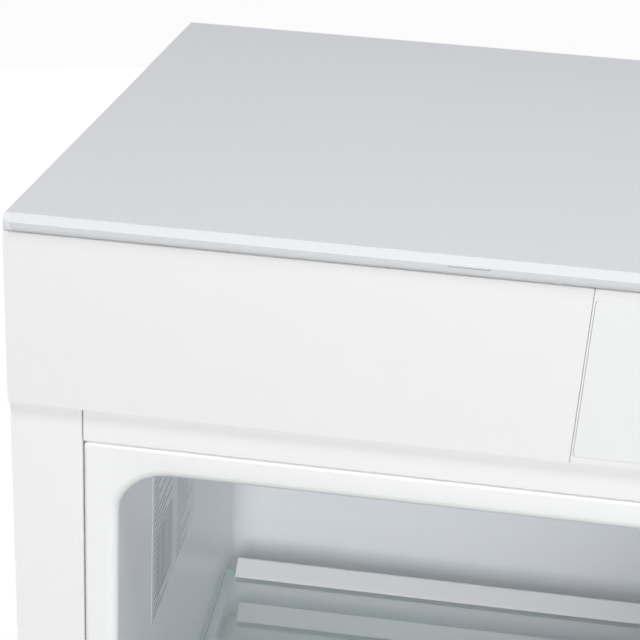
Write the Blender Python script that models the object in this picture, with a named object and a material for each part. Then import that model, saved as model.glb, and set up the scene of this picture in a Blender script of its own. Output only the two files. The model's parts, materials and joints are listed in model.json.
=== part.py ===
"""A built-in under-counter refrigerator, with its door standing open at a right angle.

+X is to the right of someone who faces the open front, +Y runs into the cabinet and +Z is up.
The origin lies on the floor, on the centre line, in the middle of the plinth's foot.
All sizes are in metres.
"""

import math

import bmesh
import bpy
from mathutils import Matrix, Vector

# Building: how far a cutter reaches past what it cuts, how far a joined piece sinks in, and the
# angles below which neighbouring faces are shaded as one
CUT_MARGIN = 0.010
SINK = 0.001
SMOOTH_DEGREES = 50
TUBE_SMOOTH_DEGREES = 65
FINE_STEPS = 24
ROUND_STEPS = 16
COARSE_STEPS = 12

# Clearances
GAP = 0.0003
PIN_CLEARANCE = 0.0004
SLIDE_CLEARANCE = 0.003
DOOR_EDGE_INSET = 0.0015

# Cabinet
WIDTH = 0.598
HEIGHT = 0.820
CABINET_DEPTH = 0.480
SHEET = 0.0008
BEND_RADIUS = 0.0014
TIGHT_BEND = 0.0005
LIP_DEPTH = 0.006
STILE_WIDTH = 0.0400
RAIL_HEIGHT = 0.0202
RAIL_END_GAP = 0.0006
LOWER_RAIL_HEIGHT = 0.063
GROOVE_SIDE = 0.0020
GROOVE_TOP = 0.0012
BACK_FLANGE = 0.014

# Plinth
PLINTH_HEIGHT = 0.070
PLINTH_SETBACK = 0.020
PLINTH_FOOT = 0.020
PLINTH_WALL = 0.0022
SLOT_COUNT = 18
SLOT_WIDTH = 0.020
SLOT_HEIGHT = 0.007
SLOT_ROWS = 3
SLOT_ROW_PITCH = 0.014

# Fascia
FASCIA_HEIGHT = 0.0978
FASCIA_PROUD = 0.003
FASCIA_DEPTH = 0.040
FASCIA_WALL = 0.0025
FASCIA_EDGE = 0.0005
SEAM = 0.0005
OVERLAY_TOP_MARGIN = 0.0058
OVERLAY_BOTTOM_MARGIN = 0.0042
OVERLAY_RIM = 0.0010
OVERLAY_END_MARGIN = 0.008
OVERLAY_THICKNESS = 0.0015
OVERLAY_RADIUS = 0.0015
OVERLAY_STEPS = 2

# Top
TOP_RISE = 0.0086
TRIM_DEPTH = 0.0056
NOSE_PROUD = 0.003
NOSE_RISE = 0.0067
NOSE_BLUNT = 0.0004
TRIM_END = 0.005
TRIM_SLOT_LENGTH = 0.0215
TRIM_SLOT_FROM_LEFT = 0.226
TRIM_SLOT_RISE = 0.0045
TRIM_SLOT_HEIGHT = 0.0010
TRIM_SLOT_DEPTH = 0.0015

# Liner
LINER_WALL = 0.0015
FLANGE_SIDE = 0.0170
FLANGE_TOP = 0.0169
OPENING_RADIUS = 0.028
OPENING_STEPS = 6
LIP_RADIUS = 0.006
FLANGE_EDGE_RADIUS = 0.0018
FLANGE_CORNER_RADIUS = 0.002
FLANGE_RETURN = 0.0045
BACK_INSULATION = 0.045
BACK_CORNER_RADIUS = 0.020
INSULATION = 0.040
STEP_SLOPE = 0.012
LEDGE_WIDTH = 0.010
LEDGE_HEIGHT = 0.006
LEDGE_START = 0.100
COVER_RISE = 0.0407
SHELF_RISE = 0.061

# Machine room
ROOM_DEPTH = 0.165
ROOM_HEIGHT = 0.170
BASE_SHEET = 0.0015
BASE_RIM = 0.022
BASE_SILL = 0.004

# Door
DOOR_THICKNESS = 0.040
DOOR_OPEN_DEGREES = 90.0
DOOR_TOP_GAP = 0.0125
DOOR_BOTTOM = 0.1045
DOOR_CAP = 0.016
DOOR_CAP_WALL = 0.0022
GASKET_THICKNESS = 0.010
GASKET_WIDTH = 0.013
GASKET_INSET = 0.022
DYKE_RISE = 0.022
DYKE_WIDTH = 0.018
DYKE_CLEARANCE = 0.014
DOOR_LINER_WALL = 0.0016
DOOR_RETURN = 0.010
GRIP_LENGTH = 0.150
GRIP_WIDTH = 0.024
GRIP_DEPTH = 0.018
GRIP_WALL = 0.0016
GRIP_FROM_TOP = 0.120
DOOR_LINER_MARGIN = 0.012
DOOR_LINER_END_MARGIN = 0.002
DOOR_CORNER_RADIUS = 0.003
DYKE_DRAFT = 0.004
DYKE_RADIUS = 0.005
DYKE_STEPS = 2
DOOR_RING_STEPS = 3
DOOR_PANEL_MARGIN = 0.020
GASKET_WAIST = 0.55
GASKET_WAIST_RISE = 0.001
GASKET_CROWN = 0.9
GASKET_LIP = 0.0015

# Hinges
PIN_RADIUS = 0.004
PIN_REACH = 0.012
BRACKET_PLATE = 0.0028
BRACKET_LENGTH = 0.052
BRACKET_LEG = 0.0105
BRACKET_NOSE_RADIUS = 0.011
BRACKET_GAP = 0.0015
BRACKET_INSET = 0.004
BRACKET_NOSE_STEPS = 8
LOWER_LEG_SHARE = 2.2
PIN_HEAD_RIM = 0.002
PIN_HEAD = 0.0018
PIN_TIP_CHAMFER = 0.0007

# Shelves and crispers
GLASS = 0.004
SHELF_REAR_GAP = 0.055
COVER_REAR_GAP = 0.035
TRIM_CHANNEL_HEIGHT = 0.014
TRIM_CHANNEL_DEPTH = 0.012
CHANNEL_WALL = 0.002
DRAWER_WALL = 0.002
DRAWER_FROM_FRAME = 0.095
DRAWER_REAR_GAP = 0.004
DRAWER_TOP_GAP = 0.004
DRAWER_SPACING = 0.006
DRAWER_SIDE_GAP = 0.006
DRAWER_DRAFT = 0.010
DRAWER_FOOT_RISE = 0.004
DRAWER_FLOOR_EXTRA = 0.016
DRAWER_RIM = 0.012
DRAWER_RIM_DRAFT = 0.0005
DRAWER_CORNER = 0.012
PULL_LENGTH = 0.110
PULL_DEPTH = 0.012
PULL_HEIGHT = 0.013
PULL_DROP = 0.001

# Door racks
RACK_WALL = 0.002
RACK_SIDE_GAP = 0.004
RACK_DEPTH = 0.092
RACK_CORNER = 0.014
RACK_TAPER = 0.006
RACK_UNDER_STUD = 0.012
RACK_BACK_SHARE = 1.15
RACK_FRONT_SHARE = 0.90
BOTTLE_RACK_RISE = 0.1015
BOTTLE_RACK_HEIGHT = 0.090
MIDDLE_RACK_RISE = 0.179
MIDDLE_RACK_HEIGHT = 0.060
UPPER_RACK_RISE = 0.170
UPPER_RACK_HEIGHT = 0.050
STUD_RADIUS = 0.006
STUD_LENGTH = 0.009

# Lamp
LAMP_LENGTH = 0.120
LAMP_HEIGHT = 0.040
LAMP_DEPTH = 0.014
LAMP_WALL = 0.002
LAMP_FROM_FRONT = 0.130
LAMP_FROM_CORNER = 0.010
DIFFUSER_PROUD = 0.001
DIFFUSER_SINK = 0.003
DIFFUSER_EDGE = 0.0009

# Controls
KEY_WIDTH = 0.016
KEY_HEIGHT = 0.012
KEY_RADIUS = 0.003
KEY_PITCH = 0.032
KEY_FROM_END = 0.030
KEY_PROUD = 0.0006
KEY_TRAVEL = 0.0012
KEY_BOARD_GAP = 0.008
KEY_STEPS = 3
POST_WIDTH = 0.006
POST_FROM_KEY = 0.0176
BOARD_MARGIN = 0.006
BOARD_HEIGHT = 0.040
BOARD_THICKNESS = 0.0016
MODULE_WIDTH = 0.130
MODULE_DEPTH = 0.090
MODULE_HEIGHT = 0.038
MODULE_FROM_SIDE = 0.060
MODULE_FROM_BACK = 0.040
MODULE_EDGE = 0.003

# Compressor, from its mounting plate up
COMPRESSOR_X = -0.060
COMPRESSOR_FROM_ROOM = 0.085
COMPRESSOR_RADIUS = 0.062
COMPRESSOR_HEIGHT = 0.125
COMPRESSOR_STRETCH = 1.25
COMPRESSOR_FOOT_SHARE = 0.55
COMPRESSOR_BOWL_SHARE = 0.86
COMPRESSOR_BOWL_RISE = 0.012
COMPRESSOR_WALL_SHARE = 0.97
COMPRESSOR_WALL_RISE = 0.030
COMPRESSOR_SEAM_SHARE = 0.50
COMPRESSOR_SEAM_RIM = 0.0037
COMPRESSOR_SEAM_HALF = 0.002
COMPRESSOR_DOME_SHARE = 0.42
COMPRESSOR_DOME_DEGREES = (20, 40, 58, 72, 83)
MOUNT_PLATE = 0.003
MOUNT_MARGIN = 0.013
NECK_WIDTH = 0.024
NECK_HEIGHT = 0.025
NECK_RISE = 0.045
RELAY_GAP = 0.002
RELAY_WIDTH = 0.034
RELAY_DEPTH = 0.056
RELAY_HEIGHT = 0.060
RELAY_RISE = 0.028
RELAY_EDGE = 0.003
GROMMET_X = 0.078
GROMMET_Y = 0.052
GROMMET_HEIGHT = 0.010
GROMMET_RADIUS = 0.0095
GROMMET_WAIST_RADIUS = 0.007
GROMMET_CHAMFER = 0.0005
GROMMET_LIP = 0.002

# Defrost water
TRAY_X = 0.062
TRAY_Y = 0.048
TRAY_HEIGHT = 0.022
TRAY_WALL = 0.002
TRAY_DRAFT = 0.006
TRAY_CORNER = 0.010
DRAIN_RADIUS = 0.006
DRAIN_TIP_RADIUS = 0.005
DRAIN_TIP_DROP = 0.004
DRAIN_COLLAR_RADIUS = 0.009
DRAIN_COLLAR = 0.004

# Condenser
CONDENSER_GAP = 0.008
CONDENSER_TUBE = 0.0025
CONDENSER_SIDES = 6
CONDENSER_HALF = 0.230
CONDENSER_PASSES = 10
CONDENSER_BEND_STEPS = 6
CONDENSER_FROM_ROOM = 0.015
CONDENSER_FROM_TOP = 0.060
CONDENSER_WIRES = 14
CONDENSER_WIRE = 0.0016
WIRE_MARGIN = 0.012
STANDOFF_WIDTH = 0.016
STANDOFF_HEIGHT = 0.012
STANDOFF_FROM_BEND = 0.030

# Mains inlet
INLET_WIDTH = 0.064
INLET_DEPTH = 0.020
INLET_HEIGHT = 0.034
INLET_FROM_BACK = 0.004
INLET_FROM_ROOM_TOP = 0.062
INLET_EDGE = 0.002
SOCKET_WIDTH = 0.024
SOCKET_DEPTH = 0.014
SOCKET_HEIGHT = 0.017

# Feet
FOOT_RADIUS = 0.018
FOOT_PAD = 0.012
FOOT_CHAMFER = 0.002
FOOT_SLOPE = 0.004
STEM_RADIUS = 0.005
FOOT_INSET_X = 0.045
FOOT_FRONT = 0.062
FOOT_REAR = 0.030

# Derived places
HALF = WIDTH / 2
FRAME_Y = -(PLINTH_SETBACK + PLINTH_FOOT / 2)
FASCIA_Y = FRAME_Y - FASCIA_PROUD
FASCIA_BACK = FASCIA_Y + FASCIA_DEPTH
BACK_Y = FRAME_Y + CABINET_DEPTH
FASCIA_TOP = HEIGHT - TOP_RISE
FASCIA_BOTTOM = FASCIA_TOP - FASCIA_HEIGHT
RAIL_TOP = FASCIA_BOTTOM - GAP
RAIL_BOTTOM = RAIL_TOP - RAIL_HEIGHT
FLANGE_TOP_EDGE = RAIL_BOTTOM - GROOVE_TOP
OPENING_TOP = FLANGE_TOP_EDGE - FLANGE_TOP
LOWER_RAIL_BOTTOM = PLINTH_HEIGHT + 2 * GAP
LOWER_RAIL_TOP = LOWER_RAIL_BOTTOM + LOWER_RAIL_HEIGHT
OPENING_BOTTOM = LOWER_RAIL_TOP + GROOVE_TOP + FLANGE_TOP
OPENING_HALF = HALF - STILE_WIDTH - GROOVE_SIDE - FLANGE_SIDE
CAVITY_BACK = BACK_Y - BACK_INSULATION
ROOM_FRONT = BACK_Y - ROOM_DEPTH
BASE_LEVEL = PLINTH_HEIGHT + GAP - BASE_RIM
ROOM_TOP = BASE_LEVEL + ROOM_HEIGHT
STEP_FRONT = ROOM_FRONT - INSULATION
STEP_TOP = ROOM_TOP + INSULATION
COVER_LEVEL = STEP_TOP + COVER_RISE
SHELF_LEVEL = COVER_LEVEL + SHELF_RISE
SHELF_FRONT = FRAME_Y + LEDGE_START
SHELF_DEPTH = CAVITY_BACK - SHELF_REAR_GAP - SHELF_FRONT
COVER_DEPTH = CAVITY_BACK - COVER_REAR_GAP - SHELF_FRONT
DRAWER_FRONT = FRAME_Y + DRAWER_FROM_FRAME
DRAWER_BACK = STEP_FRONT - DRAWER_REAR_GAP
FOAM_FRONT = FRAME_Y + LIP_DEPTH + GAP
FOAM_BOTTOM = BASE_LEVEL + BASE_RIM + GAP
DECK_LEVEL = RAIL_TOP - SHEET
DOOR_TOP = FASCIA_BOTTOM - DOOR_TOP_GAP
DOOR_INNER_Y = FRAME_Y - GASKET_THICKNESS
DOOR_OUTER_Y = DOOR_INNER_Y - DOOR_THICKNESS
DOOR_HALF = HALF - DOOR_EDGE_INSET
HINGE_X = DOOR_HALF - DOOR_THICKNESS / 2
HINGE_Y = DOOR_INNER_Y - DOOR_THICKNESS / 2
BOTTLE_RACK_LEVEL = DOOR_BOTTOM + BOTTLE_RACK_RISE
MIDDLE_RACK_LEVEL = BOTTLE_RACK_LEVEL + MIDDLE_RACK_RISE
UPPER_RACK_LEVEL = MIDDLE_RACK_LEVEL + UPPER_RACK_RISE
COMPRESSOR_Y = ROOM_FRONT + COMPRESSOR_FROM_ROOM
COMPRESSOR_BASE = BASE_LEVEL + BASE_SHEET + GROMMET_HEIGHT + 2 * GAP
COMPRESSOR_SEAM_LEVEL = COMPRESSOR_BASE + COMPRESSOR_BOWL_RISE + COMPRESSOR_HEIGHT * COMPRESSOR_SEAM_SHARE
COMPRESSOR_SEAM_TOP = COMPRESSOR_SEAM_LEVEL + COMPRESSOR_SEAM_HALF + SINK
COMPRESSOR_DOME = COMPRESSOR_HEIGHT * COMPRESSOR_DOME_SHARE

MATERIALS = {}


def material(name, colour, roughness, metallic=0.0, alpha=1.0):
    """A Principled material, made once for each name."""
    if name not in MATERIALS:
        made = bpy.data.materials.new(name)
        made.use_nodes = True
        shader = made.node_tree.nodes["Principled BSDF"]
        shader.inputs["Base Color"].default_value = (*colour, 1.0)
        shader.inputs["Roughness"].default_value = roughness
        shader.inputs["Metallic"].default_value = metallic
        shader.inputs["Alpha"].default_value = alpha
        MATERIALS[name] = made
    return MATERIALS[name]


def painted_steel():
    return material("painted_steel", (0.82, 0.82, 0.82), 0.35)


def white_plastic():
    return material("white_plastic", (0.84, 0.84, 0.84), 0.45)


def liner_plastic():
    return material("liner_plastic", (0.80, 0.82, 0.84), 0.35)


def worktop_laminate():
    return material("worktop_laminate", (0.66, 0.67, 0.70), 0.50)


def overlay_gloss():
    return material("overlay_gloss", (0.82, 0.84, 0.84), 0.08)


def zinc_steel():
    return material("zinc_steel", (0.56, 0.57, 0.58), 0.35, 0.9)


def black_enamel():
    return material("black_enamel", (0.02, 0.02, 0.022), 0.40)


def foam():
    return material("foam", (0.78, 0.66, 0.42), 0.9)


def rubber(name="grey_rubber", level=0.55):
    return material(name, (level, level, level), 0.7)


def clear_plastic():
    return material("clear_plastic", (0.85, 0.90, 0.93), 0.12, 0.0, 0.45)


def glass():
    return material("glass", (0.80, 0.90, 0.88), 0.05, 0.0, 0.35)


def new_object(name, bm, look, parent=None):
    """Turns a bmesh into a named object with its faces pointing out."""
    bmesh.ops.remove_doubles(bm, verts=bm.verts, dist=1e-6)
    bmesh.ops.recalc_face_normals(bm, faces=bm.faces)
    mesh = bpy.data.meshes.new(name)
    bm.to_mesh(mesh)
    bm.free()
    mesh.materials.append(look)
    made = bpy.data.objects.new(name, mesh)
    bpy.context.scene.collection.objects.link(made)
    made.parent = parent
    return made


def smooth(made, degrees=SMOOTH_DEGREES):
    """Shades the round faces smooth and keeps the hard edges sharp."""
    made.data.shade_smooth()
    made.data.set_sharp_from_angle(angle=math.radians(degrees))
    return made


def box_mesh(low, high):
    """The mesh of a block between two corners."""
    bm = bmesh.new()
    bmesh.ops.create_cube(bm, size=1.0)
    size = [top - bottom for bottom, top in zip(low, high)]
    middle = [(top + bottom) / 2 for bottom, top in zip(low, high)]
    bmesh.ops.scale(bm, vec=size, verts=bm.verts)
    bmesh.ops.translate(bm, vec=middle, verts=bm.verts)
    return bm


def box(name, low, high, look, parent=None, bevel=0.0, steps=2):
    """A block, with all its edges rounded where a bevel is given."""
    bm = box_mesh(low, high)
    if bevel > 0:
        bmesh.ops.bevel(bm, geom=bm.edges[:], offset=bevel, segments=steps, affect="EDGES", profile=0.5)
    return new_object(name, bm, look, parent)


def prism(name, outline, axis, start, end, look, parent=None):
    """An outline extruded along X, Y or Z. Its points are (y, z), (x, z) or (x, y)."""
    bm = bmesh.new()
    places = {"X": lambda u, v, w: (w, u, v), "Y": lambda u, v, w: (u, w, v), "Z": lambda u, v, w: (u, v, w)}
    place = places[axis]
    first = [bm.verts.new(place(u, v, start)) for u, v in outline]
    last = [bm.verts.new(place(u, v, end)) for u, v in outline]
    bm.faces.new(first)
    bm.faces.new(last)
    for index in range(len(outline)):
        after = (index + 1) % len(outline)
        bm.faces.new((first[index], first[after], last[after], last[index]))
    return new_object(name, bm, look, parent)


def arc(centre, radius, start, end, steps):
    """Points on an arc, its angles in degrees."""
    angles = [math.radians(start + (end - start) * step / steps) for step in range(steps + 1)]
    return [(centre[0] + radius * math.cos(a), centre[1] + radius * math.sin(a)) for a in angles]


def rounded_path(points, radii, steps=3):
    """A path whose inner corners are replaced with arcs."""
    path = [Vector(points[0])]
    for index in range(1, len(points) - 1):
        corner = Vector(points[index])
        radius = radii[index - 1]
        if radius <= 0:
            path.append(corner)
            continue
        back = (Vector(points[index - 1]) - corner).normalized()
        ahead = (Vector(points[index + 1]) - corner).normalized()
        half_angle = back.angle(ahead) / 2
        reach = radius / math.tan(half_angle)
        centre = corner + (back + ahead).normalized() * (radius / math.sin(half_angle))
        first = corner + back * reach - centre
        last = corner + ahead * reach - centre
        sweep = first.angle_signed(last)
        for step in range(steps + 1):
            turned = first.copy()
            turned.rotate(Matrix.Rotation(-sweep * step / steps, 2))
            path.append(centre + turned)
    path.append(Vector(points[-1]))
    return path


def offset_path(path, distance):
    """The path moved sideways, to the left of its direction."""
    moved = []
    for index, point in enumerate(path):
        before = point - path[index - 1] if index > 0 else path[1] - path[0]
        after = path[index + 1] - point if index < len(path) - 1 else before
        normals = [Vector((-step.y, step.x)).normalized() for step in (before, after)]
        middle = (normals[0] + normals[1]).normalized()
        moved.append(point + middle * (distance / middle.dot(normals[0])))
    return moved


def folded_sheet(name, points, radii, axis, start, end, look, thickness=SHEET, parent=None):
    """Sheet metal: a path with rounded bends, given its thickness to the left, and extruded."""
    path = rounded_path(points, radii)
    outline = path + offset_path(path, thickness)[::-1]
    return prism(name, [tuple(point) for point in outline], axis, start, end, look, parent)


def rectangle_ring(low, high, radius, steps=4):
    """The (u, v) points of a rectangle with round corners, from its lower right corner round."""
    radius = max(radius, 1e-4)
    corners = (
        ((high[0] - radius, low[1] + radius), -90),
        ((high[0] - radius, high[1] - radius), 0),
        ((low[0] + radius, high[1] - radius), 90),
        ((low[0] + radius, low[1] + radius), 180),
    )
    ring = []
    for centre, start in corners:
        ring += arc(centre, radius, start, start + 90, steps)
    return ring


def loft_mesh(rings, closed=False):
    """Joins rings of equal count. The ends are filled, or the last ring joins the first."""
    bm = bmesh.new()
    rows = [[bm.verts.new(point) for point in ring] for ring in rings]
    pairs = list(zip(rows, rows[1:]))
    if closed:
        pairs.append((rows[-1], rows[0]))
    for low, high in pairs:
        for index in range(len(low)):
            after = (index + 1) % len(low)
            bm.faces.new((low[index], low[after], high[after], high[index]))
    if not closed:
        bm.faces.new(rows[0])
        bm.faces.new(rows[-1])
    return bm


def loft(name, rings, look, parent=None, closed=False):
    """An object made of joined rings."""
    return new_object(name, loft_mesh(rings, closed), look, parent)


def lathe(name, profile, centre, look, parent=None, steps=COARSE_STEPS, stretch=1.0):
    """A solid of revolution about a vertical axis. Profile points are (radius, z), bottom to top."""
    circle = arc((0.0, 0.0), 1.0, 0, 360, steps)[:-1]
    rings = []
    for radius, level in profile:
        rings.append([(centre[0] + stretch * radius * u, centre[1] + radius * v, level) for u, v in circle])
    return smooth(loft(name, rings, look, parent))


def tube(name, points, radius, look, parent=None, sides=8):
    """A round bar along a path of straight stretches with the points close together in its bends."""
    points = [Vector(point) for point in points]
    rings = []
    normal = None
    steps = [(last - first).normalized() for first, last in zip(points, points[1:])]
    for index, point in enumerate(points):
        before = steps[max(index - 1, 0)]
        after = steps[min(index, len(steps) - 1)]
        along = (before + after).normalized()
        if normal is None:
            normal = along.orthogonal().normalized()
        normal = (normal - along * normal.dot(along)).normalized()
        across = along.cross(normal)
        stretch = 1 / max(along.dot(before), 0.5)
        turn = before.cross(after)
        ring = []
        for side in range(sides):
            angle = 2 * math.pi * (side + 0.5) / sides
            step = normal * math.cos(angle) + across * math.sin(angle)
            if turn.length > 1e-6:
                bend = turn.normalized().cross(along)
                step += bend * step.dot(bend) * (stretch - 1)
            ring.append(point + step * radius)
        rings.append(ring)
    return smooth(loft(name, rings, look, parent), TUBE_SMOOTH_DEGREES)


def combine(target, other, operation):
    """Applies an exact Boolean to the target and removes the other object."""
    modifier = target.modifiers.new(operation.lower(), "BOOLEAN")
    modifier.operation = operation
    modifier.solver = "EXACT"
    modifier.object = other
    bpy.context.view_layer.update()
    graph = bpy.context.evaluated_depsgraph_get()
    mesh = bpy.data.meshes.new_from_object(target.evaluated_get(graph))
    target.modifiers.clear()
    old = target.data
    mesh.name = old.name
    target.data = mesh
    bpy.data.meshes.remove(old)
    bpy.data.objects.remove(other)
    return target


def cut(target, other):
    """Takes the other object's shape away from the target."""
    return combine(target, other, "DIFFERENCE")


def join(target, other):
    """Makes the other object part of the target."""
    return combine(target, other, "UNION")


def tray(name, low, high, wall, open_side, look, parent=None, bevel=0.0):
    """A box shell that is open on one side, given as +X, -X, +Y, -Y, +Z or -Z."""
    body = box(name, low, high, look, parent, bevel)
    inner_low = [value + wall for value in low]
    inner_high = [value - wall for value in high]
    axis = "XYZ".index(open_side[1])
    if open_side[0] == "+":
        inner_high[axis] = high[axis] + wall
    else:
        inner_low[axis] = low[axis] - wall
    return cut(body, box("hollow", inner_low, inner_high, look, parent))


def side_panel(name, side):
    """One painted side: a sheet with its front flange, the stile, and a flange at the back."""
    stile_edge = HALF - STILE_WIDTH
    path = [
        (side * stile_edge, FRAME_Y + LIP_DEPTH),
        (side * stile_edge, FRAME_Y),
        (side * HALF, FRAME_Y),
        (side * HALF, BACK_Y),
        (side * (HALF - BACK_FLANGE), BACK_Y),
    ]
    thickness = SHEET if side > 0 else -SHEET
    panel = folded_sheet(
        name, path, [BEND_RADIUS] * 3, "Z", BASE_LEVEL, FASCIA_TOP, painted_steel(), thickness
    )
    notch = box(
        "notch",
        (-HALF - CUT_MARGIN, FRAME_Y - CUT_MARGIN, FASCIA_BOTTOM - GAP),
        (HALF + CUT_MARGIN, FASCIA_BACK + GAP, HEIGHT + CUT_MARGIN),
        painted_steel(),
    )
    return cut(panel, notch)


def upper_rail():
    """The painted strip under the fascia, folded back over the liner."""
    reach = HALF - STILE_WIDTH - RAIL_END_GAP
    path = [
        (FRAME_Y + LIP_DEPTH, RAIL_BOTTOM),
        (FRAME_Y, RAIL_BOTTOM),
        (FRAME_Y, RAIL_TOP),
        (FASCIA_BACK, RAIL_TOP),
    ]
    return folded_sheet(
        "upper_rail", path, [BEND_RADIUS, TIGHT_BEND], "X", -reach, reach, painted_steel(), -SHEET
    )


def lower_rail():
    """The painted strip under the opening, which carries the lower hinge."""
    reach = HALF - STILE_WIDTH - RAIL_END_GAP
    path = [
        (FRAME_Y + LIP_DEPTH, LOWER_RAIL_TOP),
        (FRAME_Y, LOWER_RAIL_TOP),
        (FRAME_Y, LOWER_RAIL_BOTTOM),
        (FRAME_Y + LIP_DEPTH, LOWER_RAIL_BOTTOM),
    ]
    return folded_sheet(
        "lower_rail", path, [BEND_RADIUS] * 2, "X", -reach, reach, painted_steel(), SHEET
    )


def cavity_floor(y, behind=0.0):
    """Height of the liner's floor: level in front, and raised over the machine room."""
    share = (y - behind - STEP_FRONT) / STEP_SLOPE
    share = min(max(share, 0.0), 1.0)
    return OPENING_BOTTOM + (STEP_TOP - OPENING_BOTTOM) * share


def liner_ring(grow, y, thickness):
    """One ring of the liner, at a distance outside the opening's edge."""
    lip = LIP_RADIUS + thickness
    rise = min(grow, thickness) + max(grow - thickness, 0.0) * FLANGE_TOP / FLANGE_SIDE
    share = min(max((grow - lip) / (FLANGE_SIDE - LIP_RADIUS), 0.0), 1.0)
    radius = (OPENING_RADIUS + min(grow, lip)) * (1 - share) + FLANGE_CORNER_RADIUS * share
    low = (-OPENING_HALF - grow, cavity_floor(y, thickness) - rise)
    high = (OPENING_HALF + grow, OPENING_TOP + rise)
    return [(x, y, z) for x, z in rectangle_ring(low, high, radius, OPENING_STEPS)]


def liner_surface(thickness, with_flange=True):
    """Path of the liner from its back wall to its flange, at a distance outside the inner face."""
    corner = BACK_CORNER_RADIUS
    points = [
        (-corner - GAP, CAVITY_BACK),
        (0.0, CAVITY_BACK),
        (0.0, STEP_FRONT + STEP_SLOPE + thickness),
        (0.0, STEP_FRONT + thickness),
        (0.0, FRAME_Y),
    ]
    radii = [corner, 0, 0]
    if with_flange:
        points += [(FLANGE_SIDE, FRAME_Y), (FLANGE_SIDE, FRAME_Y + FLANGE_RETURN)]
        radii += [LIP_RADIUS, FLANGE_EDGE_RADIUS]
    path = rounded_path(points, radii)
    if thickness > 0:
        path = offset_path(path, thickness)
    return path


def liner():
    """The vacuum-formed inner liner, its shelf ledges and its soft lip."""
    inner = liner_surface(0.0)
    outer = liner_surface(LINER_WALL)
    rings = [liner_ring(grow, y, 0.0) for grow, y in inner]
    rings += [liner_ring(grow, y, LINER_WALL) for grow, y in reversed(outer)]
    shell = loft("inner_liner", rings, liner_plastic())
    for side in (-1, 1):
        for level, depth in ((SHELF_LEVEL, SHELF_DEPTH), (COVER_LEVEL, COVER_DEPTH)):
            join(shell, ledge(side, level, depth))
    return smooth(shell)


def ledge(side, level, depth):
    """A moulded rib that a shelf slides on. It slopes down to the wall underneath."""
    wall = OPENING_HALF + LINER_WALL / 2
    tip = OPENING_HALF - LEDGE_WIDTH
    top = level - GAP
    outline = [
        (side * wall, top),
        (side * tip, top),
        (side * tip, top - LEDGE_HEIGHT / 2),
        (side * wall, top - 2 * LEDGE_HEIGHT),
    ]
    return prism("ledge", outline, "Y", SHELF_FRONT, SHELF_FRONT + depth, liner_plastic())


def insulation():
    """The foam between the casing and the liner, with the machine room left free behind."""
    body = box(
        "insulation_foam",
        (-HALF + SHEET + GAP, FOAM_FRONT, FOAM_BOTTOM),
        (HALF - SHEET - GAP, BACK_Y - SHEET - GAP, DECK_LEVEL - GAP),
        foam(),
    )
    path = liner_surface(LINER_WALL + GAP, with_flange=False)
    path[-1] = Vector((path[-1].x, FOAM_FRONT - CUT_MARGIN))
    core = loft("core", [liner_ring(grow, y, LINER_WALL + GAP) for grow, y in path], foam())
    cut(body, core)
    room = box(
        "room",
        (-WIDTH, ROOM_FRONT, FOAM_BOTTOM - CUT_MARGIN),
        (WIDTH, BACK_Y + CUT_MARGIN, ROOM_TOP),
        foam(),
    )
    return cut(body, room)


def fascia(name, side):
    """One half of the fascia: an open-backed moulding that meets the other half at the seam."""
    inner = SEAM / 2
    low_x, high_x = (-HALF, -inner) if side < 0 else (inner, HALF)
    low = (low_x, FASCIA_Y, FASCIA_BOTTOM)
    high = (high_x, FASCIA_BACK, FASCIA_TOP)
    return tray(name, low, high, FASCIA_WALL, "+Y", white_plastic(), bevel=FASCIA_EDGE)


def overlay_bounds():
    """The (x, z) corners of the recess for the overlay."""
    low = (SEAM / 2 + OVERLAY_RIM, FASCIA_BOTTOM + OVERLAY_BOTTOM_MARGIN)
    high = (HALF - OVERLAY_END_MARGIN, FASCIA_TOP - OVERLAY_TOP_MARGIN)
    return low, high


def control_panel():
    """The right half of the fascia, with a recess for the glossy overlay."""
    panel = fascia("control_panel", 1)
    low, high = overlay_bounds()
    ring = rectangle_ring(low, high, OVERLAY_RADIUS, OVERLAY_STEPS)
    depth = FASCIA_Y + OVERLAY_THICKNESS
    recess = prism("recess", ring, "Y", FASCIA_Y - CUT_MARGIN, depth, white_plastic())
    return cut(panel, recess)


def overlay():
    """The glossy plate let into the control panel."""
    low, high = overlay_bounds()
    low = (low[0] + GAP, low[1] + GAP)
    high = (high[0] - GAP, high[1] - GAP)
    ring = rectangle_ring(low, high, OVERLAY_RADIUS, OVERLAY_STEPS)
    back = FASCIA_Y + OVERLAY_THICKNESS - GAP
    return prism("control_overlay", ring, "Y", FASCIA_Y, back, overlay_gloss())


def trim_profile(nose_proud):
    """The (y, z) outline of the top's wedge-nosed edge, from its undercut round to the board."""
    nose = FASCIA_Y - nose_proud
    level = FASCIA_TOP + NOSE_RISE
    return [
        (FASCIA_Y + TRIM_DEPTH, FASCIA_TOP + GAP),
        (FASCIA_Y, FASCIA_TOP + GAP),
        (nose, level - NOSE_BLUNT),
        (nose + NOSE_BLUNT, level + NOSE_BLUNT / 2),
        (FASCIA_Y + TRIM_DEPTH, HEIGHT),
    ]


def front_trim():
    """The white edge of the top, with a short slot in its undercut."""
    reach = HALF - TRIM_END - GAP
    trim = prism("front_trim", trim_profile(NOSE_PROUD), "X", -reach, reach, white_plastic())
    slot_start = -HALF + TRIM_SLOT_FROM_LEFT
    level = FASCIA_TOP + TRIM_SLOT_RISE
    slot = box(
        "slot",
        (slot_start, FASCIA_Y - CUT_MARGIN, level),
        (slot_start + TRIM_SLOT_LENGTH, FASCIA_Y + TRIM_SLOT_DEPTH, level + TRIM_SLOT_HEIGHT),
        white_plastic(),
    )
    return cut(trim, slot)


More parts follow.
